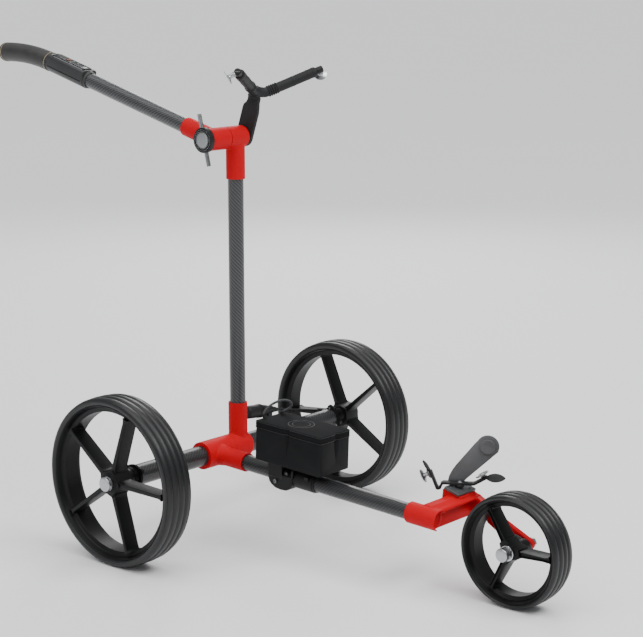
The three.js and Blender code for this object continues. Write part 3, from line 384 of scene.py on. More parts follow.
def lathe(profile, sides=72, uv_radius=None):
    """(x, radius) points turned about +X. The ends lie on the axis, or the profile closes on itself."""
    loop = profile[0][1] > 0
    count = len(profile)
    verts, starts = [], []
    for x, r in profile:
        starts.append(len(verts))
        if r == 0:
            verts.append((x, 0, 0))
            continue
        for i in range(sides):
            angle = 2 * math.pi * i / sides
            verts.append((x, r * math.cos(angle), r * math.sin(angle)))
    run = [0.0]
    for k in range(count):
        (x0, r0), (x1, r1) = profile[k], profile[(k + 1) % count]
        run.append(run[-1] + math.hypot(x1 - x0, r1 - r0))
    faces, uvs = [], []
    for k in range(count if loop else count - 1):
        a, b = starts[k], starts[(k + 1) % count]
        flat_a, flat_b = profile[k][1] == 0, profile[(k + 1) % count][1] == 0
        around = uv_radius or max(profile[k][1], profile[(k + 1) % count][1])
        for i in range(sides):
            j = (i + 1) % sides
            u0, u1 = (2 * math.pi * around * s / sides for s in (i, i + 1))
            v0, v1 = run[k], run[k + 1]
            corners = [(a if flat_a else a + i, (u0, v0)), (a if flat_a else a + j, (u1, v0))]
            corners += [(b if flat_b else b + j, (u1, v1)), (b if flat_b else b + i, (u0, v1))]
            kept = []
            for corner in corners:
                if corner[0] not in [k_[0] for k_ in kept]:
                    kept.append(corner)
            if len(kept) > 2:
                faces.append(tuple(c[0] for c in kept))
                uvs.append([c[1] for c in kept])
    return oriented(Solid(verts, faces, uvs))


def oriented(solid):
    """Turns every face outwards when the solid's signed volume is negative."""
    volume = 0.0
    for face in solid.faces:
        a = solid.verts[face[0]]
        for i in range(1, len(face) - 1):
            volume += a.dot(solid.verts[face[i]].cross(solid.verts[face[i + 1]]))
    if volume < 0:
        solid.faces = [tuple(reversed(f)) for f in solid.faces]
        if solid.uvs:
            solid.uvs = [list(reversed(u)) for u in solid.uvs]
    return solid


def rod(start, end, radius, sides=48, end_radius=None, edge=0.0):
    """A round bar with its rims chamfered by `edge`."""
    length = (Vector(end) - Vector(start)).length
    last = radius if end_radius is None else end_radius
    profile = [
        (0, 0), (0, radius - edge), (edge, radius), (length - edge, last), (length, last - edge),
        (length, 0)
    ]
    if edge == 0:
        profile = [(0, 0), (0, radius), (length, last), (length, 0)]
    return lathe(profile, sides).moved(aim(start, end))


def ball(centre, radius, sides=40):
    """A ball turned from a half circle."""
    rings = sides // 2
    angles = [math.pi * i / rings for i in range(rings + 1)]
    profile = [(radius * -math.cos(a), radius * math.sin(a)) for a in angles]
    profile[0], profile[-1] = (-radius, 0), (radius, 0)
    return lathe(profile, sides).moved(at(*centre))


def prism(outline, thickness):
    """An (x, y) outline given a thickness along +Z."""
    count = len(outline)
    verts = [(x, y, z) for z in (0, thickness) for x, y in outline]
    faces = [tuple(reversed(range(count))), tuple(range(count, 2 * count))]
    for i in range(count):
        j = (i + 1) % count
        faces.append((i, j, j + count, i + count))
    return oriented(Solid(verts, faces))


def arc(x, y, radius, start, end, steps=8):
    """Points on an arc, its angles in degrees."""
    angles = [(start + (end - start) * i / steps) * DEGREE for i in range(steps + 1)]
    return [(x + radius * math.cos(a), y + radius * math.sin(a)) for a in angles]


def rounded(width, height, radius, steps=6):
    """Outline of a rectangle with rounded corners."""
    w, h = width / 2 - radius, height / 2 - radius
    corners = ((w, h), (-w, h), (-w, -h), (w, -h))
    return [p for i, (x, y) in enumerate(corners) for p in arc(x, y, radius, 90 * i, 90 * i + 90, steps)]


def slab(width, length, height, radius=2.0):
    """A block with rounded upright edges, its base at z = 0."""
    return prism(rounded(width, length, radius), height)


def smooth_path(points, steps=8):
    """Catmull-Rom points through `points`."""
    pts = [Vector(p) for p in points]
    pts = [pts[0] * 2 - pts[1]] + pts + [pts[-1] * 2 - pts[-2]]
    path = []
    for i in range(1, len(pts) - 2):
        p0, p1, p2, p3 = pts[i - 1 : i + 3]
        for s in range(steps):
            t = s / steps
            path.append(
                0.5 * (
                    2 * p1 + (p2 - p0) * t + (2 * p0 - 5 * p1 + 4 * p2 - p3) * t * t
                    + (3 * p1 - p0 - 3 * p2 + p3) * t**3
                )
            )
    return path + [pts[-2]]


def sweep(path, radius, sides=32, uv=False):
    """A tube along a path. radius is a number or a function of the share of the way along."""
    pts = [Vector(p) for p in path]
    run = [0.0]
    for a, b in zip(pts, pts[1:]):
        run.append(run[-1] + (b - a).length)
    size = radius if callable(radius) else lambda share: radius
    tangent = (pts[1] - pts[0]).normalized()
    side = tangent.orthogonal().normalized()
    verts, faces, uvs = [], [], []
    for k, point in enumerate(pts):
        ahead = pts[min(k + 1, len(pts) - 1)] - pts[max(k - 1, 0)]
        ahead.normalize()
        side = (side - ahead * side.dot(ahead)).normalized()
        other = ahead.cross(side)
        r = size(run[k] / run[-1])
        for i in range(sides):
            angle = 2 * math.pi * i / sides
            verts.append(point + (side * math.cos(angle) + other * math.sin(angle)) * r)
    for k in range(len(pts) - 1):
        for i in range(sides):
            j = (i + 1) % sides
            a, b = k * sides, (k + 1) * sides
            faces.append((a + i, a + j, b + j, b + i))
            u0, u1 = (2 * math.pi * size(0) * s / sides for s in (i, i + 1))
            uvs.append([(u0, run[k]), (u1, run[k]), (u1, run[k + 1]), (u0, run[k + 1])])
    faces.append(tuple(reversed(range(sides))))
    faces.append(tuple(range(len(verts) - sides, len(verts))))
    uvs += [[(0, 0)] * sides] * 2
    return oriented(Solid(verts, faces, uvs if uv else None))


def tube(start, end, radius, wall, sides=72):
    """An open tube with UVs in metres for a weave."""
    length = (Vector(end) - Vector(start)).length
    profile = [
        (0.3, radius), (length - 0.3, radius), (length, radius - 0.3), (length, radius - wall),
        (0, radius - wall), (0, radius - 0.3)
    ]
    return lathe(profile, sides, uv_radius=radius).moved(aim(start, end))


# ---------------------------------------------------------------- objects
def mesh_object(name, *solids):
    """Joins solids in one mesh, in metres and in the frame."""
    verts, faces, uvs = [], [], []
    for solid in solids:
        base = len(verts)
        verts += [Vector((v.x, v.y + CENTRE_Y, v.z)) * MM for v in solid.verts]
        faces += [tuple(i + base for i in f) for f in solid.faces]
        uvs += solid.uvs or [[(0, 0)] * len(f) for f in solid.faces]
    mesh = bpy.data.meshes.new(name)
    mesh.from_pydata(verts, [], faces)
    if any(solid.uvs for solid in solids):
        layer = mesh.uv_layers.new(name="UVMap")
        flat = [c * MM for face in uvs for pair in face for c in pair]
        layer.data.foreach_set("uv", flat)
    mesh.update()
    made = bpy.data.objects.new(name, mesh)
    bpy.context.scene.collection.objects.link(made)
    return made


def shade(mesh, angle=32):
    """Smooth shading, with edges sharper than `angle` kept crisp."""
    work = bmesh.new()
    work.from_mesh(mesh)
    for face in work.faces:
        face.smooth = True
    for edge in work.edges:
        edge.smooth = len(edge.link_faces) == 2 and edge.calc_face_angle(0) < angle * DEGREE
    work.to_mesh(mesh)
    work.free()


def bake_modifiers(made):
    """Replaces the object's mesh with what its modifiers make of it."""
    graph = bpy.context.evaluated_depsgraph_get()
    mesh = bpy.data.meshes.new_from_object(made.evaluated_get(graph))
    made.modifiers.clear()
    made.data = mesh


def bevel_edges(made, width, segments, limit=35):
    """Rounds edges sharper than `limit` degrees; the width is in millimetres."""
    edge = made.modifiers.new("bevel", "BEVEL")
    edge.width = width * MM
    edge.segments = segments
    edge.limit_method = "ANGLE"
    edge.angle_limit = limit * DEGREE
    bake_modifiers(made)


def fuse(made, voxel, rounds):
    """Joins an object's overlapping solids into one skin with soft fillets."""
    skin = made.modifiers.new("fuse", "REMESH")
    skin.mode = "VOXEL"
    skin.voxel_size = voxel * MM
    soften = made.modifiers.new("soften", "SMOOTH")
    soften.factor = 0.5
    soften.iterations = rounds
    bake_modifiers(made)


def combine(made, solids, operation="DIFFERENCE"):
    """Cuts each solid out of the object, or keeps only what they share."""
    for solid in solids:
        tool = mesh_object("tool", solid)
        bite = made.modifiers.new("combine", "BOOLEAN")
        bite.operation = operation
        bite.object = tool
        bake_modifiers(made)
        bpy.data.objects.remove(tool)


def piece(
    name, solids, material, body, replaces=(), bevel=0.0, segments=2, angle=32, place=None
):
    """One visible piece: its solids placed, joined, bevelled, shaded, and riding on a CAD body."""
    solids = solids if isinstance(solids, (list, tuple)) else [solids]
    if place:
        solids = [solid.moved(place) for solid in solids]
    made = mesh_object(name, *solids)
    if bevel:
        bevel_edges(made, bevel, segments)
    shade(made.data, angle)
    return dress(made, material, body, replaces)


def dress(made, material, body, replaces):
    made.data.materials.clear()
    made.data.materials.append(MATERIALS[material])
    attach(made, body)
    if replaces:
        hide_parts(*([replaces] if isinstance(replaces, str) else replaces))
    return made


def cast(
    name, solids, cutters, material, body, replaces, voxel=0.9, rounds=10, trims=(), extra=None
):
    """A casting or moulding: solids and an extra object fused, then trimmed and cut crisply."""
    made = mesh_object(name, *solids)
    if extra:
        work = bmesh.new()
        work.from_mesh(made.data)
        work.from_mesh(extra.data)
        work.to_mesh(made.data)
        work.free()
        bpy.data.objects.remove(extra)
    fuse(made, voxel, rounds)
    for point, normal in trims:
        trim(made, point, normal)
    combine(made, cutters)
    shade(made.data, 38)
    return dress(made, material, body, replaces)


def trim(made, point, normal):
    """Cuts off whatever lies beyond a plane and closes the cut, which leaves a crisp edge."""
    work = bmesh.new()
    work.from_mesh(made.data)
    plane = Vector((point[0], point[1] + CENTRE_Y, point[2])) * MM
    cut = bmesh.ops.bisect_plane(
        work, geom=work.verts[:] + work.edges[:] + work.faces[:], plane_co=plane, plane_no=Vector(normal),
        clear_outer=True
    )
    edges = [e for e in cut["geom_cut"] if isinstance(e, bmesh.types.BMEdge)]
    bmesh.ops.holes_fill(work, edges=edges, sides=0)
    work.to_mesh(made.data)
    work.free()


def curve_piece(name, points, radius, material, body, replaces):
    """A round cord on one open spline; the points are in millimetres."""
    data = bpy.data.curves.new(name, "CURVE")
    data.dimensions = "3D"
    data.bevel_depth = radius * MM
    data.bevel_resolution = 6
    data.use_fill_caps = True
    spline = data.splines.new("POLY")
    spline.points.add(len(points) - 1)
    for place, point in zip(spline.points, points):
        place.co = (point[0] * MM, (point[1] + CENTRE_Y) * MM, point[2] * MM, 1)
    made = bpy.data.objects.new(name, data)
    bpy.context.scene.collection.objects.link(made)
    return dress(made, material, body, replaces)


# ---------------------------------------------------------------- places along the tubes
# The tubes' axes cross the axle 1.1 mm and the upper barrel 2 mm under their middles
TUBE_START = Vector((FRONT_TUBE_X, 0, 148.9))
TUBE_DIRECTION = Vector((0, -math.cos(FRONT_TUBE_SLOPE), -math.sin(FRONT_TUBE_SLOPE)))
HANDLE_START = Vector((HANDLE_X, 0, 721))
HANDLE_DIRECTION = Vector((0, math.cos(HANDLE_ANGLE), math.sin(HANDLE_ANGLE)))
HANDLE_FRAME = Matrix.Translation(HANDLE_START) @ Matrix.Rotation(HANDLE_ANGLE, 4, "X")
TUBE_FRAME = Matrix.Translation(TUBE_START) @ Matrix.Rotation(FRONT_TUBE_SLOPE, 4, "X")


def along_tube(s):
    """A point on the front tube's axis, in millimetres from the axle hub."""
    return TUBE_START + TUBE_DIRECTION * s


def along_handle(s):
    """A point on the handle's axis, in millimetres from the upper barrel."""
    return HANDLE_START + HANDLE_DIRECTION * s


# ---------------------------------------------------------------- cords
LOOP_POINTS = [
    (-78, -137.3, 245.0), (-77.6, -137.6, 248.5), (-76.2, -138.4, 252.5), (-72.6, -140.0, 257.5),
    (-66.6, -142.6, 262.4), (-59.0, -145.9, 266.4), (-50.6, -149.4, 269.0), (-42.2, -152.8, 269.6),
    (-34.6, -155.6, 268.0), (-28.8, -157.0, 264.2), (-25.8, -156.6, 258.9), (-26.6, -154.2, 253.8),
    (-30.4, -150.6, 250.0), (-34.6, -147.2, 247.4), (-38, -144.6, 245.0)
]
JUNCTION_FROM = Vector((32, 10, 204.5))
JUNCTION_TO = Vector((106, 10, 196.5))
LEAD_END = Vector((254, 17, 163))


def make_cords():
    """The battery's carry loop and the left motor's lead, each on one line of points."""
    points = smooth_path(LOOP_POINTS, 4)
    loop = curve_piece("carry_loop_cord", points, 2.2, "cord", "battery", "battery_carry_loop")
    start = JUNCTION_TO.lerp(LEAD_END, 0.01)
    points = [start.lerp(LEAD_END, i / 16) for i in range(17)]
    lead = curve_piece("motor_lead_cable", points, 2.8, "soft_black", "chassis", "motor_lead")


# ---------------------------------------------------------------- chassis castings and tubes
def make_chassis():
    """Fixed hub with its hinge pin, motor tubes, front tube, fork and wiring junction."""
    # Fixed hub: barrel, front sleeve and the swell between them
    cast(
        "axle_hub_casting",
        [
            rod((-100, 0, AXLE_Z), (-25, 0, AXLE_Z), HUB_RADIUS),
            rod(along_tube(0), along_tube(86), SLEEVE_RADIUS),
            rod(along_tube(0), along_tube(34), 23, end_radius=17)
        ],
        [
            rod((-99, 0, AXLE_Z), (-62, 0, AXLE_Z), MOTOR_TUBE_BORE),
            rod((-63, 0, AXLE_Z), (-20, 0, AXLE_Z), PIN_BORE),
            rod(along_tube(34), along_tube(90), TUBE_BORE)
        ],
        "red_paint", "chassis", "axle_hub",
        trims=[
            ((-97, 0, AXLE_Z), (-1, 0, 0)), ((-28.15, 0, AXLE_Z), (1, 0, 0)),
            (along_tube(82), TUBE_DIRECTION)
        ]
    )
    piece(
        "hinge_pin_turned", rod((-61.7, 0, AXLE_Z), (16, 0, AXLE_Z), PIN_RADIUS, 48, edge=1), "steel",
        "chassis", "fold_hinge_pin"
    )
    # The motor tubes and the front tube wear the darker, painted-shade copy of the carbon
    for name, inner, outer in (("right", -62.3, -260.7), ("left", -13.7, 260.7)):
        tube_piece = tube((inner, 0, AXLE_Z), (outer, 0, AXLE_Z), MOTOR_TUBE_RADIUS, MOTOR_TUBE_WALL, 96)
        piece(
            f"{name}_motor_tube_woven", tube_piece, "carbon_shaded", "chassis", f"{name}_motor_tube",
        )
        make_flange(name, 1 if outer > 0 else -1)
    piece(
        "front_tube_woven", tube(along_tube(36), along_tube(496), TUBE_RADIUS, TUBE_WALL, 80), "carbon_shaded",
        "chassis", "front_tube"
    )
    make_fork()
    make_junction()


def make_flange(name, side):
    """End flange of a motor tube: a ribbed ring with three screwed lugs."""
    profile = [(0, 7), (0, 15.6), (14, 15.6), (14, 18.9), (14.3, 19.6)]
    for rib in range(4):
        start = 14.6 + rib * 0.85
        profile += [(start, 20.6), (start + 0.45, 20.6), (start + 0.5, 19.9), (start + 0.8, 19.9)]
    profile += [(18.2, 21.2), (18.7, 21.4), (19, 21.2), (19, 7)]
    ring = lathe([(x - 5, r) for x, r in profile], 96)
    lugs = []
    screws = []
    for degrees in (90, 210, 330) if side > 0 else (30, 150, 270):
        y, z = 20 * math.cos(degrees * DEGREE), 20 * math.sin(degrees * DEGREE)
        lugs.append(rod((9.2, y, z), (13.9, y, z), 6.5, 40, edge=0.8))
        lugs.append(rod((7.4, y, z), (9.4, y, z), 5.2, 40, edge=0.5))
        screws.append(rod((6.6, y, z), (7.6, y, z), 2.9, 6, edge=0.3))
    place = at(side * 252, 0, AXLE_Z) @ Matrix.Diagonal((side, 1, 1, 1))
    solids = [s.moved(place) for s in [ring, *lugs]]
    piece(
        f"{name}_flange_moulded", solids, "black_plastic", "chassis", f"{name}_motor_flange",
    )
    piece(f"{name}_flange_screws", screws, "chrome", "chassis", place=place)


def make_fork():
    """Sleeve and cross beam, hollow in front under a hood, and an arm slanting in beside the wheel."""
    beam = [(-480, 119)] + arc(-484, 146, 4, 0, 90, 5) + arc(-498, 144, 6, 90, 130, 3)
    beam += arc(-510, 140, 6, 80, 180, 6)
    beam += [(-505, 139.2), (-505, 111), (-484, 111)]
    pedestal = [(-470, 140), (-472, 155)] + arc(-475, 157, 3.4, 10, 80, 4) + [(-508, 151.4), (-508, 140)]
    arm_side = [(-495, 144), (-522, 144), (-533, 143.6), (-545, 142.2), (-562, 138), (-640, 103.5)]
    arm_side += arc(-637, 94, 10, 103, 258, 8) + [
        (-600, 91), (-551, 119), (-541, 122), (-525, 119), (-495, 114)
    ]
    arm_plan = [
        (58, -495), (58, -515), (26, -564), (26, -660), (14.5, -660), (14.5, -558), (45, -512), (45, -495)
    ]
    sleeve = lathe(
        [(0, 0), (0, 18.3), (66.4, 18.3), (67, 17.8), (67, 16.8), (66.4, 16.2), (53.4, 16.2), (53.4, 0)], 96
    )
    arm = mesh_object("arm_side", prism(arm_side, 60).moved(SIDE_ON))
    combine(arm, [prism(arm_plan, 190)], "INTERSECT")
    cast(
        "front_fork_casting",
        [
            sleeve.moved(aim(along_tube(452), along_tube(519))),
            prism(beam, 120).moved(at(-62, 0, 0) @ SIDE_ON),
            prism(pedestal, 46).moved(at(4, 0, 0) @ SIDE_ON)
        ],
        [
            slab(23, 30, 39, 1).moved(at(-50.5, -520.4, 100)),
            slab(31, 30, 14, 1).moved(at(-54.5, -520.8, 100)),
            rod(along_tube(440), along_tube(497), TUBE_BORE),
            rod((5, FRONT_AXLE.y, FRONT_AXLE.z), (35, FRONT_AXLE.y, FRONT_AXLE.z), BOLT_BORE)
        ],
        "red_paint", "chassis", "front_fork", voxel=1.1, rounds=5,
        trims=[(along_tube(456), -TUBE_DIRECTION)], extra=arm
    )
    plate = [
        (-597, 102), (-604, 106.6), (-612, 108.4), (-620, 107.6), (-645, 98.6), (-649, 93), (-646, 84),
        (-641, 81.6), (-606, 80), (-600, 84)
    ]
    boss = lathe(
        [(10.6, 5.4), (10.6, 9), (11.6, 9.4), (11.6, 5.4)], 48
    ).moved(at(0, FRONT_AXLE.y, FRONT_AXLE.z))
    piece(
        "tracking_plate_pressed", [prism(plate, 2.7).moved(at(11.5, 0, 0) @ SIDE_ON), boss], "blade_grey",
        "chassis", "tracking_plate", bevel=0.5
    )


def make_junction():
    """Wiring junction: a stepped, ribbed barrel tapering into the lead, on a saddle round the motor tube."""
    length = (JUNCTION_TO - JUNCTION_FROM).length
    profile = [(0, 0), (0, 10.6), (1.4, 12), (3, 12.4), (29, 12.4), (29.4, 13), (31, 13.2)]
    for rib in range(3):
        x = 31.5 + rib * 1.9
        profile += [(x, 13.2), (x + 0.5, 12.5), (x + 1.1, 12.5), (x + 1.5, 13.2)]
    profile += [
        (38, 13.2), (38.4, 12.2), (52, 10.2), (62, 8.1), (length - 3, 6.6), (length - 0.6, 6.2),
        (length, 5.4), (length, 0)
    ]
    barrel = lathe(profile, 72).moved(aim(JUNCTION_FROM, JUNCTION_TO))
    saddle = lathe(
        [(82, 18.7), (82, 22), (82.8, 22.6), (97.2, 22.6), (98, 22), (98, 18.7)], 72
    ).moved(at(0, 0, AXLE_Z))
    post = slab(12, 12, 26, 3).moved(at(90, 6, 169))
    relief = lathe([(0, 2.8), (0, 5.2), (2, 5.4), (14, 3.6), (14.6, 3.3), (14.6, 2.8)], 40)
    relief = relief.moved(aim(JUNCTION_TO.lerp(LEAD_END, 0.002), LEAD_END))
    socket = lathe(
        [(0, 2.9), (0, 4.6), (1, 5), (9, 5), (10, 4.4), (10, 2.9)], 40
    ).moved(aim(LEAD_END - (LEAD_END - JUNCTION_TO) * 0.06, LEAD_END))
    piece(
        "junction_barrel", [barrel, saddle, post], "soft_black", "chassis", "wiring_junction",
    )
    piece("lead_relief", [relief, socket], "soft_black", "chassis")
    screw = rod((90, 21, AXLE_Z), (90, 24.2, AXLE_Z), 2.6, 6, edge=0.3)
    piece("saddle_screw", screw, "steel", "chassis")


# ---------------------------------------------------------------- wheels
def tyre_solid(radius, width, seat, ribs=4):
    """Tyre section: bead, bulging smooth sidewall, and rounded ribs round the tread."""
    half = width / 2
    side = [(half - 9, seat), (half - 6.4, seat + 2.3), (half - 3.4, seat + 2.7), (half - 2.2, seat + 2.9)]
    side += [
        (half - 1.2, seat + 3.8), (half - 0.4, seat + 5.6), (half, seat + 7.6), (half - 0.2, seat + 9.6)
    ]
    side = [(x, min(r, radius - 4.4)) for x, r in side]
    side += [(half - 1.2, radius - 3.5)]
    pitch = (width - 5) / ribs
    tread = []
    for rib in range(ribs):
        start = -half + 2.5 + rib * pitch
        for step in range(9):
            share = step / 8
            x = start + 0.5 + (pitch - 1.0) * share
            lift = 2.4 * (1 - abs(2 * share - 1) ** 3.2)
            tread.append((x, radius - 2.4 + lift - 2.6 * (x / half) ** 2))
    crown = max(r for _, r in tread)
    tread = [(x, r + radius - crown) for x, r in tread]
    profile = [(-x, r) for x, r in side] + tread + [(x, r) for x, r in reversed(side)]
    return lathe(profile, 144)


def rim_solid(width, seat, depth):
    """Wheel barrel: rounded lip, one step inside it, then the deep floor."""
    half = width / 2
    side = [
        (half - 9.2, seat - 0.3), (half - 6.2, seat + 2.0), (half - 3.6, seat + 2.4),
        (half - 2.5, seat + 2.3), (half - 2.1, seat + 1.7), (half - 2.3, seat + 0.9),
        (half - 3.4, seat + 0.2), (half - 9.4, seat - 1.6), (half - 12.0, seat - 2.6),
        (half - 12.8, seat - 3.6), (half - 13.4, seat - depth + 1.4), (half - 14.6, seat - depth - 0.2)
    ]
    profile = side + [(-x, r) for x, r in reversed(side)]
    return lathe(profile, 144)


def spider_outline(spokes, hub, apothem, reach, hub_half, rim_half, flare):
    """Outline of a hub with blades: each blade widens at the rim and runs into the hub with a fillet."""
    outline = []
    step = 2 * math.pi / spokes
    for spoke in range(spokes):
        angle = spoke * step

        def put(along, across):
            outline.append(
                (
                    along * math.cos(angle) - across * math.sin(angle),
                    along * math.sin(angle) + across * math.cos(angle)
                )
            )

        run = [
            (hub - 1.5, hub_half + 1.7), (hub + 1, hub_half + 0.6), (hub + 4, hub_half + 0.1),
            (hub + 10, hub_half - 0.1), (reach - 9, rim_half), (reach - 4.5, rim_half + flare * 0.25),
            (reach - 1.8, rim_half + flare * 0.7), (reach, rim_half + flare * 1.3)
        ]
        for along, across in run:
            put(along, -across)
        for along, across in reversed(run):
            put(along, across)
        middle = angle + step / 2
        across = (apothem * math.tan(step / 2)) * 0.55
        for side in (-1, 1):
            outline.append(
                (
                    apothem * math.cos(middle) - side * across * math.sin(middle),
                    apothem * math.sin(middle) + side * across * math.cos(middle)
                )
            )
    return outline


# (x, y) outlines turned so that x points up (+Z) and the thickness runs along +X
WHEEL_ON = Matrix(((0, 0, 1, 0), (0, -1, 0, 0), (1, 0, 0, 0), (0, 0, 0, 1)))


def make_rear_wheel(name, side, phase):
    """Drawn about its middle: +X is outwards and `phase` turns the blades, in degrees."""
    body = f"{name}_rear_wheel"
    place = at(REAR_WHEEL_X * side, 0, AXLE_Z) @ (turn(180, "Z") if side < 0 else Matrix())
    spin = place @ turn(phase, "X")
    piece(
        f"{name}_tyre_ribbed", tyre_solid(REAR_RADIUS, REAR_WIDTH, REAR_SEAT).moved(place), "tyre", body,
        f"{name}_tyre"
    )
    outline = spider_outline(5, 24, 20.2, 126, 4.4, 3.1, 2.6)
    blades = prism(outline, 29).moved(at(-6, 0, 0) @ WHEEL_ON)
    pentagon = [(25.6 * math.cos(a), 25.6 * math.sin(a)) for a in (i * 2 * math.pi / 5 for i in range(5))]
    cap = prism(pentagon, 36).moved(at(-10, 0, 0) @ WHEEL_ON)
    piece(
        f"{name}_wheel_spider", [blades.moved(spin), cap.moved(spin)], "wheel_plastic", body,
        f"{name}_wheel", bevel=0.9, segments=3
    )
    ring = rim_solid(REAR_WIDTH, REAR_SEAT, REAR_RIM_DEPTH)
    boss = lathe(
        [
            (20, 13.3), (20, 19), (26.6, 18.6), (27.2, 17.8), (27.4, 16), (28.4, 15.6), (28.6, 14.4),
            (28.3, 13.6), (27.6, 13.3)
        ],
        72
    )
    sleeve = [(-30, 6.4), (-30, 17.2), (-29.6, 17.6)]
    for rib in range(5):
        start = -29.2 + rib * 1.7
        sleeve += [(start, 17.7), (start + 0.8, 17.7), (start + 1.0, 16.7), (start + 1.5, 16.7)]
    sleeve = lathe(sleeve + [(-20.4, 16.9), (-10, 17.2), (0, 18), (0, 6.4)], 72)
    piece(
        f"{name}_wheel_barrel", [s.moved(place) for s in (ring, boss, sleeve)], "wheel_plastic", body,
        f"{name}_wheel"
    )
    shaft = lathe(
        [
            (-58, 0), (-58, 5.2), (-57.2, 6), (-34, 6), (-33.8, 5.4), (-32.6, 5.4), (-32.4, 6), (11, 6),
            (12, 5), (12, 0)
        ],
        48
    )
    piece(f"{name}_shaft_turned", shaft, "steel", body, f"{name}_drive_shaft", place=place)
    cap = [
        (19.3, 0), (19.3, 13), (30.0, 13), (30.4, 12.3), (31.2, 12.3), (31.6, 13), (35.6, 13), (36.2, 12.7),
        (36.8, 11.8)
    ]
    cap += [(37.0, 9), (37.15, 4), (37.2, 0)]
    piece(
        f"{name}_hub_cap", lathe(cap, 72).moved(place), "aluminium", f"{name}_hub_release",
        f"{name}_hub_button"
    )


def make_front_wheel():
    """The wheel is drawn about its middle with +X towards its open side, the axle where it stands."""
    body = "front_wheel_assembly"
    place = at(FRONT_AXLE.x, FRONT_AXLE.y, FRONT_AXLE.z) @ turn(180, "Z")
    spin = place @ turn(32.5, "X")
    piece(
        "front_tyre_ribbed", tyre_solid(FRONT_RADIUS, FRONT_WIDTH, FRONT_SEAT).moved(place), "tyre", body,
        "front_tyre"
    )
    outline = spider_outline(3, 19, 11.5, 77, 4.8, 3.4, 2.4)
    web = prism(outline, 25).moved(at(-7, 0, 0) @ WHEEL_ON)
    # A raised edge on both sides of each blade makes it a shallow channel
    edges = []
    for spoke in range(3):
        for hand in (-1, 1):
            strip = [(14, hand * 6.2), (24, hand * 4.9), (68, hand * 3.5), (76, hand * 4.6)]
            inner = [(x, y - hand * 1.5) for x, y in reversed(strip)]
            rib = prism(strip + inner, 28).moved(at(-7, 0, 0) @ WHEEL_ON)
            edges.append(rib.moved(turn(120 * spoke, "X")))
    hub = []
    for spoke in range(3):
        angle = spoke * 120 * DEGREE
        hub += [
            (21.5 * math.cos(angle + d), 21.5 * math.sin(angle + d)) for d in (-0.36, -0.12, 0.12, 0.36)
        ]
        hub.append((13.2 * math.cos(angle + math.pi / 3), 13.2 * math.sin(angle + math.pi / 3)))
    cap = prism(hub, 29).moved(at(-6, 0, 0) @ WHEEL_ON)
    boss = lathe(
        [
            (-26, 5.4), (-26, 11), (-25, 12), (-6, 12.6), (22.6, 13.6), (24.4, 13.4), (25, 12.6), (25, 6.4),
            (24, 5.4)
        ],
        64
    )
    piece(
        "front_wheel_spider", [s.moved(spin) for s in (web, cap, *edges)], "wheel_plastic", body,
        "front_wheel", bevel=0.6, segments=2
    )
    piece(
        "front_wheel_barrel",
        [s.moved(place) for s in (rim_solid(FRONT_WIDTH, FRONT_SEAT, FRONT_RIM_DEPTH), boss)],
        "wheel_plastic", body, "front_wheel"
    )
    y, z = FRONT_AXLE.y, FRONT_AXLE.z
    shaft = rod((32, y, z), (-44, y, z), BOLT_RADIUS, 40, edge=0.6)
    nut = rod((26.3, y, z), (32, y, z), 9, 6, edge=0.9)
    cap = [
        (42.6, 0), (42.6, 8.4), (44, 8.4), (44.2, 10.8), (45, 11.5), (57.4, 11.5), (58.4, 10.9),
        (58.9, 9.8), (59, 0)
    ]
    piece(
        "front_axle_cap", [lathe([(-x, r) for x, r in cap], 64).moved(at(0, y, z)), shaft, nut],
        "aluminium", "chassis", "front_axle_bolt"
    )
    ring = lathe(
        [(-42.4, 9.2), (-42.4, 12.4), (-43, 13), (-43.5, 12.9), (-43.8, 12.4), (-43.8, 9.2)], 64
    ).moved(at(0, y, z))
    piece("front_axle_ring", ring, "chrome", body)


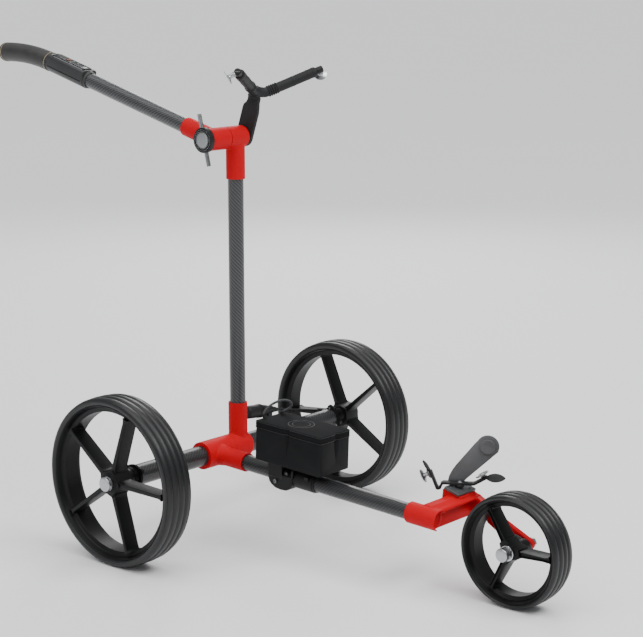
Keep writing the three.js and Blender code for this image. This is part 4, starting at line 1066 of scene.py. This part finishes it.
# ---------------------------------------------------------------- battery
def make_battery():
    """Drawn in the front tube's frame: Y runs along the tube, Z is the height over its axis."""
    half_x, front, back = 39, -287, -136
    middle = (front + back) / 2
    notch = 3.4
    # The lid's edge dips in above each arrow-shaped groove
    lid = []
    corner = 4.5
    lid += arc(half_x + 1 - corner, back + 1 - corner, corner, 0, 90, 6)
    lid += arc(-half_x - 1 + corner, back + 1 - corner, corner, 90, 180, 6)
    lid += [
        (-half_x - 1, middle + 10), (-half_x - 1 + notch, middle + 4), (-half_x - 1 + notch, middle - 2),
        (-half_x - 1, middle - 8)
    ]
    lid += arc(-half_x - 1 + corner, front - 1 + corner, corner, 180, 270, 6)
    lid += [(-4, front - 1), (0.5, front - 1 + notch * 0.8), (5, front - 1 + notch * 0.8), (10, front - 1)]
    lid += arc(half_x + 1 - corner, front - 1 + corner, corner, 270, 360, 6)
    lid += [
        (half_x + 1, middle - 8), (half_x + 1 - notch, middle - 2), (half_x + 1 - notch, middle + 4),
        (half_x + 1, middle + 10)
    ]
    top = prism(lid, 12.7).moved(at(0, 0, 86.3))
    emblem = []
    for inner, outer in ((15, 16.4), (22.2, 24)):
        ring = lathe([(98.6, inner), (99.5, inner + 0.2), (99.5, outer - 0.2), (98.6, outer)], 96)
        emblem.append(ring.moved(at(0, middle + 3, 0) @ turn(-90, "Y")))
    piece(
        "battery_lid_moulded", top, "lid_plastic", "battery", "battery_lid", bevel=1.2, segments=3,
        place=TUBE_FRAME
    )
    # Lighter, glossier strips run round the lid under its top edge and along its joint: painted edge
    # highlights
    wide = [(x * 1.006, middle + (y - middle) * 1.003) for x, y in lid]
    highlight_strips = [prism(wide, 0.7).moved(TUBE_FRAME @ at(0, 0, z)) for z in (86.5, 97.2)]
    piece("battery_lid_highlight_strips", highlight_strips, "housing_black", "battery", "battery_lid")
    piece(
        "battery_lid_rings", emblem, "bracket_black", "battery", "battery_lid",
        place=TUBE_FRAME
    )
    shell = slab(2 * half_x + 1.2, back - front + 1.2, 57.1, 5).moved(at(0, middle, 29))
    made = mesh_object("battery_shell", shell.moved(TUBE_FRAME))
    # Each groove is wide at the lid, pointed two thirds of the way down, deepest along its middle
    for x, y, about in ((-half_x, middle + 1, 0), (half_x, middle + 1, 180), (3, front, 90)):
        groove = Solid(
            [
                (-4, -10, 90), (-4, 10, 90), (6, 0, 90), (-4, -9, 74), (-4, 9, 74), (5.4, 0, 74),
                (-4, -0.6, 40), (-4, 0.6, 40), (0, 0, 46)
            ],
            [
                (0, 1, 4, 3), (1, 2, 5, 4), (2, 0, 3, 5), (3, 4, 7, 6), (4, 5, 8, 7), (5, 3, 6, 8),
                (0, 2, 1), (6, 7, 8)
            ]
        )
        combine(made, [oriented(groove).moved(TUBE_FRAME @ at(x, y, 0) @ turn(about, "Z"))])
    bevel_edges(made, 0.7, 2, 40)
    shade(made.data, 32)
    dress(made, "black_plastic", "battery", "battery_box")
    # Foot rim and sockets for the carry loop
    rim = slab(2 * half_x - 3, back - front - 3, 2.2, 5).moved(at(0, middle, 27.6))
    piece(
        "battery_foot", rim, "soft_black", "battery", "battery_box", bevel=0.6,
        place=TUBE_FRAME
    )
    sockets = []
    for end, inward in ((LOOP_POINTS[0], (0, -5, 0)), (LOOP_POINTS[-1], (0, -2.5, 0))):
        top_point = Vector(end) + Vector((0, 0, 2.4))
        foot = Vector(end) + Vector(inward) + Vector((0, 0, -5.5))
        sockets.append(
            lathe(
                [
                    (0, 0), (0, 4.6), ((top_point - foot).length - 1, 3.4),
                    ((top_point - foot).length, 2.7), ((top_point - foot).length, 0)
                ],
                32
            ).moved(aim(foot, top_point))
        )
    piece("carry_loop_sockets", sockets, "black_plastic", "battery", "battery_lid")
    make_bracket()


def make_bracket():
    """Battery bracket: a block and a round-bottomed jaw clamped to the front tube, and a smooth collar."""
    block = slab(42, 33, 30.8, 2.5).moved(at(0, -166.5, -2))
    jaw = [
        (-150.5, 4), (-150.5, -5), (-152.5, -12), (-158, -18), (-167, -22.4), (-180, -24), (-194, -22.4),
        (-203, -17), (-206.5, -9), (-206.5, 4)
    ]
    jaw = prism(jaw, 38).moved(at(-19, 0, 0) @ SIDE_ON)
    spine = slab(16, 90, 42, 4).moved(at(12, -193, -14))
    saddle = slab(34, 88, 9, 3).moved(at(0, -193, 18.7))
    tab = slab(6.5, 3, 14, 1).moved(at(-18.2, -208, 4))
    made = mesh_object("bracket_clamp", *[s.moved(TUBE_FRAME) for s in (block, jaw, spine, saddle, tab)])
    fuse(made, 0.9, 4)
    cutters = [
        rod((0, -100, 0), (0, -300, 0), TUBE_BORE, 72), slab(2.4, 110, 16, 0.5).moved(at(0, -193, -28))
    ]
    combine(made, [s.moved(TUBE_FRAME) for s in cutters])
    shade(made.data, 38)
    dress(made, "soft_black", "chassis", "battery_bracket")
    collar = [
        (0, 14.4), (0, 16.6), (0.8, 17.4), (64, 17.4), (65, 16.6), (65, 15.8), (69, 15.8), (69.5, 15.4),
        (69.5, 14.4)
    ]
    collar = lathe(collar, 72).moved(aim((0, -184, 0), (0, -253.5, 0)))
    pad = slab(3, 9, 7, 1).moved(at(-16.6, -238, 5.5))
    boss = lathe(
        [(0, 2.4), (0, 4.6), (5.2, 4.6), (5.8, 4), (5.8, 3), (5.2, 2.4)], 40
    ).moved(aim((-14.2, -193, 9), (-20, -193, 9)))
    piece(
        "bracket_collar", [collar, pad, boss], "soft_black", "chassis", "battery_bracket",
        place=TUBE_FRAME
    )
    head = [
        (-2, 0), (-2, 2.5), (8, 2.5), (8.2, 3.8), (10.2, 3.8), (10.8, 3.2), (10.8, 1.9), (9.6, 1.7),
        (9.6, 0)
    ]
    screws = [
        lathe(head, 32).moved(aim((-11, -168, -10), (-26, -168, -10))),
        lathe(
            [(0, 0), (0, 2.3), (0.8, 2.3), (1.1, 1.9), (1.1, 1.1), (0.6, 0.9), (0.6, 0)], 28
        ).moved(aim((-18, -193, 9), (-24, -193, 9)))
    ]
    piece("bracket_screws", screws, "steel", "chassis", "clamp_screw", place=TUBE_FRAME)


# ---------------------------------------------------------------- mast, handle joint and clamp
def make_mast():
    """Hinged hub, the upright tube and the two halves of the upper barrel."""
    cast(
        "mast_hub_casting",
        [
            rod((-31, 0, AXLE_Z), (8, 0, AXLE_Z), HUB_RADIUS), ball((6, 0, AXLE_Z), 25.8, 56),
            rod((0, 0, AXLE_Z), (0, 0, 237), 17.6)
        ],
        [
            rod((-14, 0, AXLE_Z), (40, 0, AXLE_Z), MOTOR_TUBE_BORE),
            rod((-34, 0, AXLE_Z), (0, 0, AXLE_Z), PIN_BORE), rod((0, 0, 178), (0, 0, 240), TUBE_BORE)
        ],
        "red_paint", "mast", "mast_hub",
        trims=[((-27.85, 0, AXLE_Z), (-1, 0, 0)), ((21, 0, AXLE_Z), (1, 0, 0)), ((0, 0, 233), (0, 0, 1))]
    )
    piece(
        "mast_tube_woven", tube((0, 0, 178), (0, 0, 699), TUBE_RADIUS, TUBE_WALL, 80), "carbon", "mast",
        "mast_tube"
    )
    cast(
        "mast_joint_casting",
        [
            lathe(
                [(-32, 0), (-32, 20.2), (15.5, 20.2), (18.5, 18.8), (20.5, 16), (20.5, 0)], 96
            ).moved(at(0, 0, UPPER_Z)),
            rod((0, 0, 644), (0, 0, UPPER_Z), SLEEVE_RADIUS)
        ],
        [rod((0, 0, 640), (0, 0, 699.3), TUBE_BORE), rod((-40, 0, UPPER_Z), (40, 0, UPPER_Z), BOLT_BORE)],
        "red_paint", "mast", "mast_joint",
        trims=[((-27.5, 0, UPPER_Z), (-1, 0, 0)), ((0, 0, 648), (0, 0, -1))]
    )
    cast(
        "handle_joint_casting",
        [
            rod((-77, 0, UPPER_Z), (-24, 0, UPPER_Z), JOINT_RADIUS),
            rod(along_handle(0), along_handle(78), SLEEVE_RADIUS)
        ],
        [
            rod(along_handle(24), along_handle(80), TUBE_BORE),
            rod((-90, 0, UPPER_Z), (0, 0, UPPER_Z), BOLT_BORE)
        ],
        "red_paint", "handle", "handle_joint",
        trims=[
            ((-74, 0, UPPER_Z), (-1, 0, 0)), ((-28.5, 0, UPPER_Z), (1, 0, 0)),
            (along_handle(74), HANDLE_DIRECTION)
        ]
    )


def make_clamp():
    """The spindle through the upper barrel with its knob, bar and nut; X is measured from the mast."""
    place = at(0, 0, UPPER_Z)
    knob = [
        (74.5, 0), (74.5, 21.4), (75.4, 22.5), (82.9, 22.5), (84.1, 21.6), (84.5, 20.6), (84.5, 19.9),
        (83.9, 19.3), (83.2, 19.2), (83.2, 18.2), (83.9, 17.9), (84.0, 16.2), (83.3, 15.8), (83.2, 0)
    ]
    piece(
        "knob_body", lathe([(-x, r) for x, r in knob], 96).moved(place), "soft_black", "clamp",
        "clamp_knob"
    )
    rings = []
    for inner, outer, face in ((18.3, 19.1, 84.4), (14.6, 15.5, 84.5)):
        rings.append(
            lathe([(-83, inner), (-83, outer), (-face, outer - 0.3), (-face, inner + 0.3)], 96).moved(place)
        )
    piece("knob_rings", rings, "chrome", "clamp", "clamp_knob")
    disc = lathe([(-83, 0), (-83, 13.5), (-84.5, 13.5), (-84.8, 13.1), (-85.0, 12.2), (-85.1, 0)], 96)
    piece("knob_disc", disc, "disc_metal", "clamp", "clamp_knob_cap", place=place)
    tilt = 13.8 * DEGREE
    half = Vector((0, math.sin(tilt) * 47, math.cos(tilt) * 47))
    middle = Vector((-79.3, 0, UPPER_Z))
    bar = rod(middle - half, middle + half, 3.8, 8, edge=0.7)
    piece("clamp_bar_faceted", bar, "steel", "clamp", "clamp_bar", bevel=0.35, segments=2)
    spindle = rod((-74.8, 0, UPPER_Z), (32.5, 0, UPPER_Z), BOLT_RADIUS, 40, edge=0.8)
    nut = rod((27.8, 0, UPPER_Z), (33.5, 0, UPPER_Z), 9, 6, edge=0.9)
    washer = rod((27.5, 0, UPPER_Z), (28.4, 0, UPPER_Z), 10.5, 48, edge=0.3)
    piece("clamp_spindle_turned", [spindle, nut, washer], "steel", "clamp", "clamp_spindle")


# ---------------------------------------------------------------- upper bag bracket
YOKE_HEIGHT = 86
YOKE = Vector((24.2, -math.sin(BRACKET_LEAN) * YOKE_HEIGHT, 723 + math.cos(BRACKET_LEAN) * YOKE_HEIGHT))
ARMS = {
    "right": [(-14, -6, 3), (-32, -16, 12), (-107, -58, 42)],
    "left": [(14, -4, -2.5), (30, -13, 1.8), (113, -60, 37.5)]
}


def stud(start, direction, length):
    """A silver stud with a broad flange and a small lip, for a strap to hook over."""
    profile = [
        (0, 0), (0, 4.6), (0.8, 5), (2, 4), (length - 4, 3.8), (length - 2, 5.2), (length - 0.6, 10.6),
        (length, 12)
    ]
    profile += [
        (length + 1.1, 12), (length + 1.6, 11.2), (length + 1.4, 9.8), (length + 0.9, 9.2),
        (length + 1.1, 4.4), (length + 1.6, 4), (length + 1.6, 0)
    ]
    along = Vector(direction).normalized()
    return lathe(profile, 48).moved(aim(start, Vector(start) + along))


def make_upper_bracket():
    """Leaning plate, a forked root and two sleeved arms that end in plugs with studs."""
    body = "upper_bag_bracket"
    outline = arc(0, 0, 18.5, 180, 360, 20) + [
        (18.5, 50), (17.6, 56), (13, 62), (11.4, 67), (12.4, 78), (-14, 78), (-14.4, 68), (-16.6, 60),
        (-18.5, 50)
    ]
    lean = at(0, 0, UPPER_Z) @ Matrix.Rotation(BRACKET_LEAN, 4, "X")
    plate = prism(outline, 6.6).moved(lean @ at(20.9, 0, 0) @ SIDE_ON)
    piece(
        "bracket_plate_moulded", plate, "bracket_black", body, "bag_bracket_plate", bevel=0.8, segments=3,
    )
    foot = Vector(YOKE) + Vector((0, 4.6, -13.4))
    waist = prism([(-12.5, 74), (12.5, 74), (9, 84), (-9, 84)], 10).moved(lean @ at(19.2, 0, 0) @ SIDE_ON)
    cast(
        "yoke_root",
        [
            ball(YOKE, 11, 40), rod(foot, YOKE, 8.6), waist,
            sweep(smooth_path([YOKE, YOKE + Vector(ARMS["right"][0])], 4), 9.4),
            sweep(smooth_path([YOKE, YOKE + Vector(ARMS["left"][0])], 4), 9.4)
        ],
        [], "bracket_black", body, "bag_bracket_yoke", voxel=0.8, rounds=10
    )
    for name, side in (("right", -1), ("left", 1)):
        first, second, end = (Vector(p) for p in ARMS[name])
        plug = (end - second).normalized() * 14
        tip = end - plug
        path = smooth_path([YOKE, YOKE + first, YOKE + second, YOKE + tip], 24)
        ripples = 5 if name == "left" else 2
        start = 0.20 if name == "left" else 0.26

        def girth(share, ripples=ripples, start=start):
            """Bellows rings near the root, a faint ring half-way and seam rings near the tip."""
            size = 9.0
            where = (share - start) / 0.034
            if 0 <= where <= ripples:
                size += 2.1 * math.sin(math.pi * (where % 1)) - 0.7
            for seam, height in ((0.62, 0.35), (0.86, 0.45), (0.955, 0.5)):
                if abs(share - seam) < 0.008:
                    size += height
            if share > 0.99:
                size -= 0.7
            return size

        fine = []
        for a, b in zip(path, path[1:]):
            fine += [a.lerp(b, i / 3) for i in range(3)]
        fine.append(path[-1])
        arm = sweep(fine, girth, 48)
        tail = YOKE + tip
        plug_shape = lathe(
            [
                (-3, 0), (-3, 6.5), (1.4, 6.5), (1.7, 6.1), (2.5, 6.1), (2.8, 6.5), (12.8, 6.5),
                (13.7, 5.9), (14, 5), (14, 0)
            ],
            48
        )
        slot_cut = prism(rounded(1.2, 9, 0.5), 0.9).moved(turn(90, "Y") @ at(0, 0, 13.4))
        piece(
            f"{name}_arm_sleeve", arm, "bracket_black", body, "bag_bracket_yoke",
            angle=50
        )
        piece(
            f"{name}_arm_plug", plug_shape.moved(aim(tail, tail + plug)), "soft_black", body,
            "bag_bracket_yoke"
        )
        piece(f"{name}_plug_slot", slot_cut.moved(aim(tail, tail + plug)), "steel", body)
        outward = Vector((0.645 * side, 0.59, -0.49)).normalized()
        root = tail + plug * 0.75 + outward * 6.2
        piece(
            f"{name}_strap_stud", stud(root, outward, 12.6), "aluminium", body, f"{name}_strap_hook",
        )


# ---------------------------------------------------------------- lower bag bracket
def make_lower_bracket():
    """Base sheet on the fork; strap, blade and studs are drawn about the swivel, then turned."""
    slope = math.atan2(9.5, 34)
    base = at(SWIVEL.x, SWIVEL.y, SWIVEL.z) @ Matrix.Rotation(slope, 4, "X")
    sheet = slab(50, 32, 4, 2).moved(base @ at(0, 0, 0.3))
    piece(
        "base_sheet", sheet, "grey_metal", "chassis", "bag_base_plate", bevel=0.6, segments=3,
    )
    heads = []
    for x, y in ((-15, -7), (-9, -9), (15, 8), (15, -8), (-17, 8)):
        head = lathe([(0, 0), (0, 2.4), (0.5, 2.4), (0.8, 1.9), (0.8, 1.1), (0.4, 0.9), (0.4, 0)], 24)
        heads.append(head.moved(base @ at(x, y, 4.3) @ turn(-90, "Y")))
    piece("base_sheet_screws", heads, "grey_metal", "chassis")
    body = "lower_bag_bracket"
    place = at(*SWIVEL) @ Matrix.Rotation(SWIVEL_YAW, 4, "Z")
    line = smooth_strip([(-50, 32), (-38, 2), (-33, 3), (-30, 12), (24, 12), (46, 25)])
    strap = bent_strip(line, 13, 4)
    post = rod((0, 0, 1.9), (0, 0, 12), 4.8, 40, edge=0.5)
    collar = rod((0, 0, 5.6), (0, 0, 10.6), 7.6, 40, edge=0.8)
    washer = rod((0, 0, 13.6), (0, 0, 14.6), 5.4, 48, edge=0.3)
    nut = lathe(
        [(0, 0), (0, 3.6), (0.8, 3.4), (1.5, 2.6), (1.7, 1.6), (1.1, 1.4), (1.1, 0)], 32
    ).moved(at(0, 0, 14.4) @ turn(-90, "Y"))
    leaves = [
        leaf(24, 18).moved(at(-48.5, 0, 30) @ turn(-125, "Y")),
        leaf(34, 20).moved(at(43, 0, 22.5) @ turn(26, "X"))
    ]
    piece(
        "swivel_strap_bent", [strap, post, collar], "bracket_black", body, "bag_swivel_strap", bevel=0.5,
        segments=2, place=place
    )
    piece("swivel_nut", [washer, nut], "steel", body, place=place)
    piece(
        "leaf_tabs", leaves, "bracket_black", body, "bag_swivel_strap", bevel=0.4, segments=2,
        place=place
    )
    blade = [(-21, 9.5), (-20.6, 15), (-19, 21), (-16.4, 27), (-12.4, 34), (-6, 43), (24, 80)]
    blade += arc(45.5, 75, 19.5, 149, -28.6, 18) + [(10, 17), (6, 12)]
    back = prism(blade, 3.5).moved(at(0, 11.5, 0) @ FACE_ON)
    piece(
        "back_blade", back, "blade_grey", body, "bag_back_plate", bevel=0.7, segments=3,
        place=place
    )
    disc = lathe([(0, 0), (0, 12.2), (0.6, 13), (2.2, 13), (2.9, 12.2), (3, 9), (2.6, 8), (2.6, 0)], 64)
    piece(
        "back_disc", disc.moved(place @ aim((45.5, 7.9, 75), (45.5, 4.7, 75))), "blade_grey", body,
        "bag_back_pad"
    )
    right = stud((-51, 0, 27.6), (-0.87, 0.05, -0.49), 12)
    left = stud((40, 0, 24.5), (-0.5, 0.05, 0.86), 4.6)
    piece("right_base_stud", right, "aluminium", body, "right_base_hook", place=place)
    piece("left_base_stud", left, "aluminium", body, "left_base_hook", place=place)
    ring = lathe([(0, 4.2), (0, 8.4), (0.7, 9), (2.6, 9), (3.2, 8.4), (3.2, 4.2)], 48)
    piece(
        "right_stud_washer", ring.moved(place @ aim((-50.4, 0, 28), (-51.4, 0.05, 27.5))), "grey_metal",
        body
    )


def smooth_strip(points):
    """Rounds the bends of an (x, z) line."""
    line = [Vector((x, 0, z)) for x, z in points]
    made = [line[0]]
    for before, here, after in zip(line, line[1:], line[2:]):
        reach = min(3.5, (here - before).length / 3, (after - here).length / 3)
        a = here + (before - here).normalized() * reach
        b = here + (after - here).normalized() * reach
        for step in range(5):
            t = step / 4
            made.append(a * (1 - t) ** 2 + here * 2 * t * (1 - t) + b * t * t)
    made.append(line[-1])
    return [(p.x, p.z) for p in made]


def bent_strip(line, width, thick):
    """A strip of even thickness whose middle follows an (x, z) line."""
    upper, lower = [], []
    for i, (x, z) in enumerate(line):
        x0, z0 = line[max(i - 1, 0)]
        x1, z1 = line[min(i + 1, len(line) - 1)]
        length = math.hypot(x1 - x0, z1 - z0)
        nx, nz = -(z1 - z0) / length, (x1 - x0) / length
        upper.append((x + nx * thick / 2, z + nz * thick / 2))
        lower.append((x - nx * thick / 2, z - nz * thick / 2))
    return prism(upper + lower[::-1], width).moved(at(0, width / 2, 0) @ FACE_ON)


def leaf(length, width):
    """A thin leaf-shaped tab, long along X."""
    side = []
    for step in range(13):
        t = step / 12
        x = 3 * t * (1 - t) ** 2 * length * 0.2 + 3 * t * t * (1 - t) * length * 0.7 + t**3 * length
        y = 3 * t * (1 - t) ** 2 * width * 0.6 + 3 * t * t * (1 - t) * width * 0.75
        side.append((x, y))
    return prism(side + [(x, -y) for x, y in reversed(side[1:-1])], 2.4)


# ---------------------------------------------------------------- handle, keypad and grip
def make_handle():
    """Y runs along the handle from the upper barrel, Z is the height over its axis."""
    piece(
        "handle_tube_woven", tube(along_handle(25), along_handle(368), TUBE_RADIUS, TUBE_WALL, 80),
        "carbon", "handle", "handle_tube"
    )
    top, radius = 17.2, 17.6
    corner = 6.2
    section = arc(0, 0, radius, 180, 360, 32)
    section += arc(radius - corner, top - corner, corner, 0, 90, 8)
    section += arc(corner - radius, top - corner, corner, 90, 180, 8)
    body = prism(section, 106.7).moved(at(0, 452.7, 0) @ FACE_ON)
    collar = lathe(
        [(0, 14.4), (0, 15.4), (0.6, 15.8), (8, 17.0), (8, 14.4)], 72
    ).moved(aim((0, 339, 0), (0, 348, 0)))
    piece(
        "housing_shell", [body, collar], "housing_black", "handle", "control_housing", bevel=0.7,
        segments=3, place=HANDLE_FRAME
    )
    # Edge trims: a line low on each side, and a light inlay beside the keypad
    lines = []
    for hand in (-1, 1):
        lines.append(slab(0.8, 96, 1.0, 0.3).moved(at(hand * 17.5, 399, -4.6)))
    piece("housing_side_lines", lines, "black_plastic", "handle", place=HANDLE_FRAME)
    inlay = []
    for hand in (-1, 1):
        inlay.append(slab(0.9, 82, 0.8, 0.3).moved(at(hand * 12.3, 397, 16.9)))
        inlay.append(slab(2.6, 3.4, 0.8, 0.8).moved(at(hand * 11.6, 357, 16.9)))
    inlay.append(slab(9, 5, 0.7, 2).moved(at(-3, 448.4, 16.9)))
    piece("housing_inlay", inlay, "mark_grey", "handle", place=HANDLE_FRAME)
    make_keypad()
    make_grip()


def make_keypad():
    """Bezel with cut windows, the three keys and the display, placed along the handle."""
    windows = (("faster_button", 380, 9, 9), ("slower_button", 393, 9, 9), ("power_button", 408, 11, 10))
    height = 3.4
    made = mesh_object("keypad_bezel", slab(22, 92, height, 3).moved(HANDLE_FRAME @ at(0, 398, 15.5)))
    tools = [
        slab(width + 0.6, length + 0.6, 12, 3).moved(HANDLE_FRAME @ at(0, where, 11.2)) for _, where, width,
        length in windows
    ]
    tools.append(slab(14.6, 12.6, 12, 2).moved(HANDLE_FRAME @ at(0, 364, 11.2)))
    combine(made, tools)
    bevel_edges(made, 0.5, 2, 40)
    shade(made.data)
    dress(made, "soft_black", "handle", "keypad_panel")
    for name, where, width, length in windows:
        key = slab(width, length, height - 0.2, 2.7).moved(HANDLE_FRAME @ at(0, where, 16.5))
        body = name.replace("button", "key")
        piece(
            f"{name}_cap", key, "button_rubber" if name != "power_button" else "soft_black", body, name,
            bevel=0.7, segments=3
        )
        make_icon(name, where, body)
    glass = slab(14, 12, 3.0, 1.7).moved(HANDLE_FRAME @ at(0, 364, 15.5))
    piece(
        "display_glass", glass, "display", "handle", "display_window", bevel=0.4, segments=2
    )
    bars = [
        slab(1.6, 2 + i * 1.6, 0.25, 0.4).moved(HANDLE_FRAME @ at(-3 + i * 3, 364, 18.45)) for i in range(3)
    ]
    piece("display_bars", bars, "mark_grey", "handle")


def make_icon(name, where, body):
    """Raised signs: plus, minus, and a broken ring with a stroke."""
    z = 19.55
    if name == "power_button":
        start, steps = 40, 24
        ring = arc(0, 0, 3.6, start, start + 280, steps)
        inner = arc(0, 0, 2.7, start, start + 280, steps)
        shapes = [
            prism(ring + inner[::-1], 0.3).moved(turn(25, "Z")), slab(0.9, 3.4, 0.3, 0.4).moved(at(0, 2, 0))
        ]
        material = "button_orange"
    else:
        shapes = [slab(4.6, 1.0, 0.3, 0.4)]
        if name == "faster_button":
            shapes.append(slab(1.0, 4.6, 0.3, 0.4))
        material = "mark_grey"
    piece(
        f"{name}_sign", [s.moved(HANDLE_FRAME @ at(0, where, z)) for s in shapes], material, body,
    )


def make_grip():
    """Leather grip on a gentle downward bend, with a stitched ring at both ends and a crowned end."""
    bend, length, radius = 435.0, 138.0, 18.5

    def on_bend(share):
        angle = share * length / bend
        return Vector((0, 453 + bend * math.sin(angle), -bend * (1 - math.cos(angle))))

    def girth(share):
        size = radius - 0.25 * math.sin(math.pi * share)
        edge = min(share, 1 - share) * length
        if edge < 1.2:
            size -= 0.6 * (1 - edge / 1.2) ** 2
        if abs(edge - 4.6) < 0.9:
            size -= 0.35 * (1 - abs(edge - 4.6) / 0.9)
        return size

    path = [on_bend(i / 240) for i in range(241)]
    sleeve = sweep(path, girth, 80)
    tip = on_bend(1)
    angle = -length / bend
    dome = [(0.42 * 18.4 * math.sin(a * DEGREE), 18.2 * math.cos(a * DEGREE)) for a in range(0, 90, 6)]
    dome = lathe([(-2, 0), (-2, 18.2)] + dome + [(0.42 * 18.4, 0)], 80)
    end = dome.moved(at(*tip) @ Matrix.Rotation(angle, 4, "X") @ turn(90, "Z"))
    piece(
        "grip_sleeve", [sleeve, end], "leather", "handle", "grip", angle=60,
        place=HANDLE_FRAME
    )
    # Stitches lie slanted in the shallow groove near each end
    stitches = []
    for share in (4.6 / length, 1 - 4.6 / length):
        centre = on_bend(share)
        frame_here = at(*centre) @ Matrix.Rotation(-share * length / bend, 4, "X") @ turn(90, "Z")
        for i in range(44):
            a = 2 * math.pi * i / 44
            b = a + 2 * math.pi * 0.78 / 44
            p = Vector((-0.45, 18.2 * math.cos(a), 18.2 * math.sin(a)))
            q = Vector((0.45, 18.2 * math.cos(b), 18.2 * math.sin(b)))
            m = (p + q) / 2
            m.y *= 1.022
            m.z *= 1.022
            stitches.append(sweep([p, p.lerp(m, 0.6), m, m.lerp(q, 0.4), q], 0.42, 8).moved(frame_here))
    piece("grip_stitches", stitches, "stitch", "handle", angle=60, place=HANDLE_FRAME)


make_camera()
make_cords()
make_chassis()
make_rear_wheel("right", -1, 53.2)
make_rear_wheel("left", 1, -23)
make_front_wheel()
make_battery()
make_mast()
make_clamp()
make_upper_bracket()
make_lower_bracket()
make_handle()
make_studio()
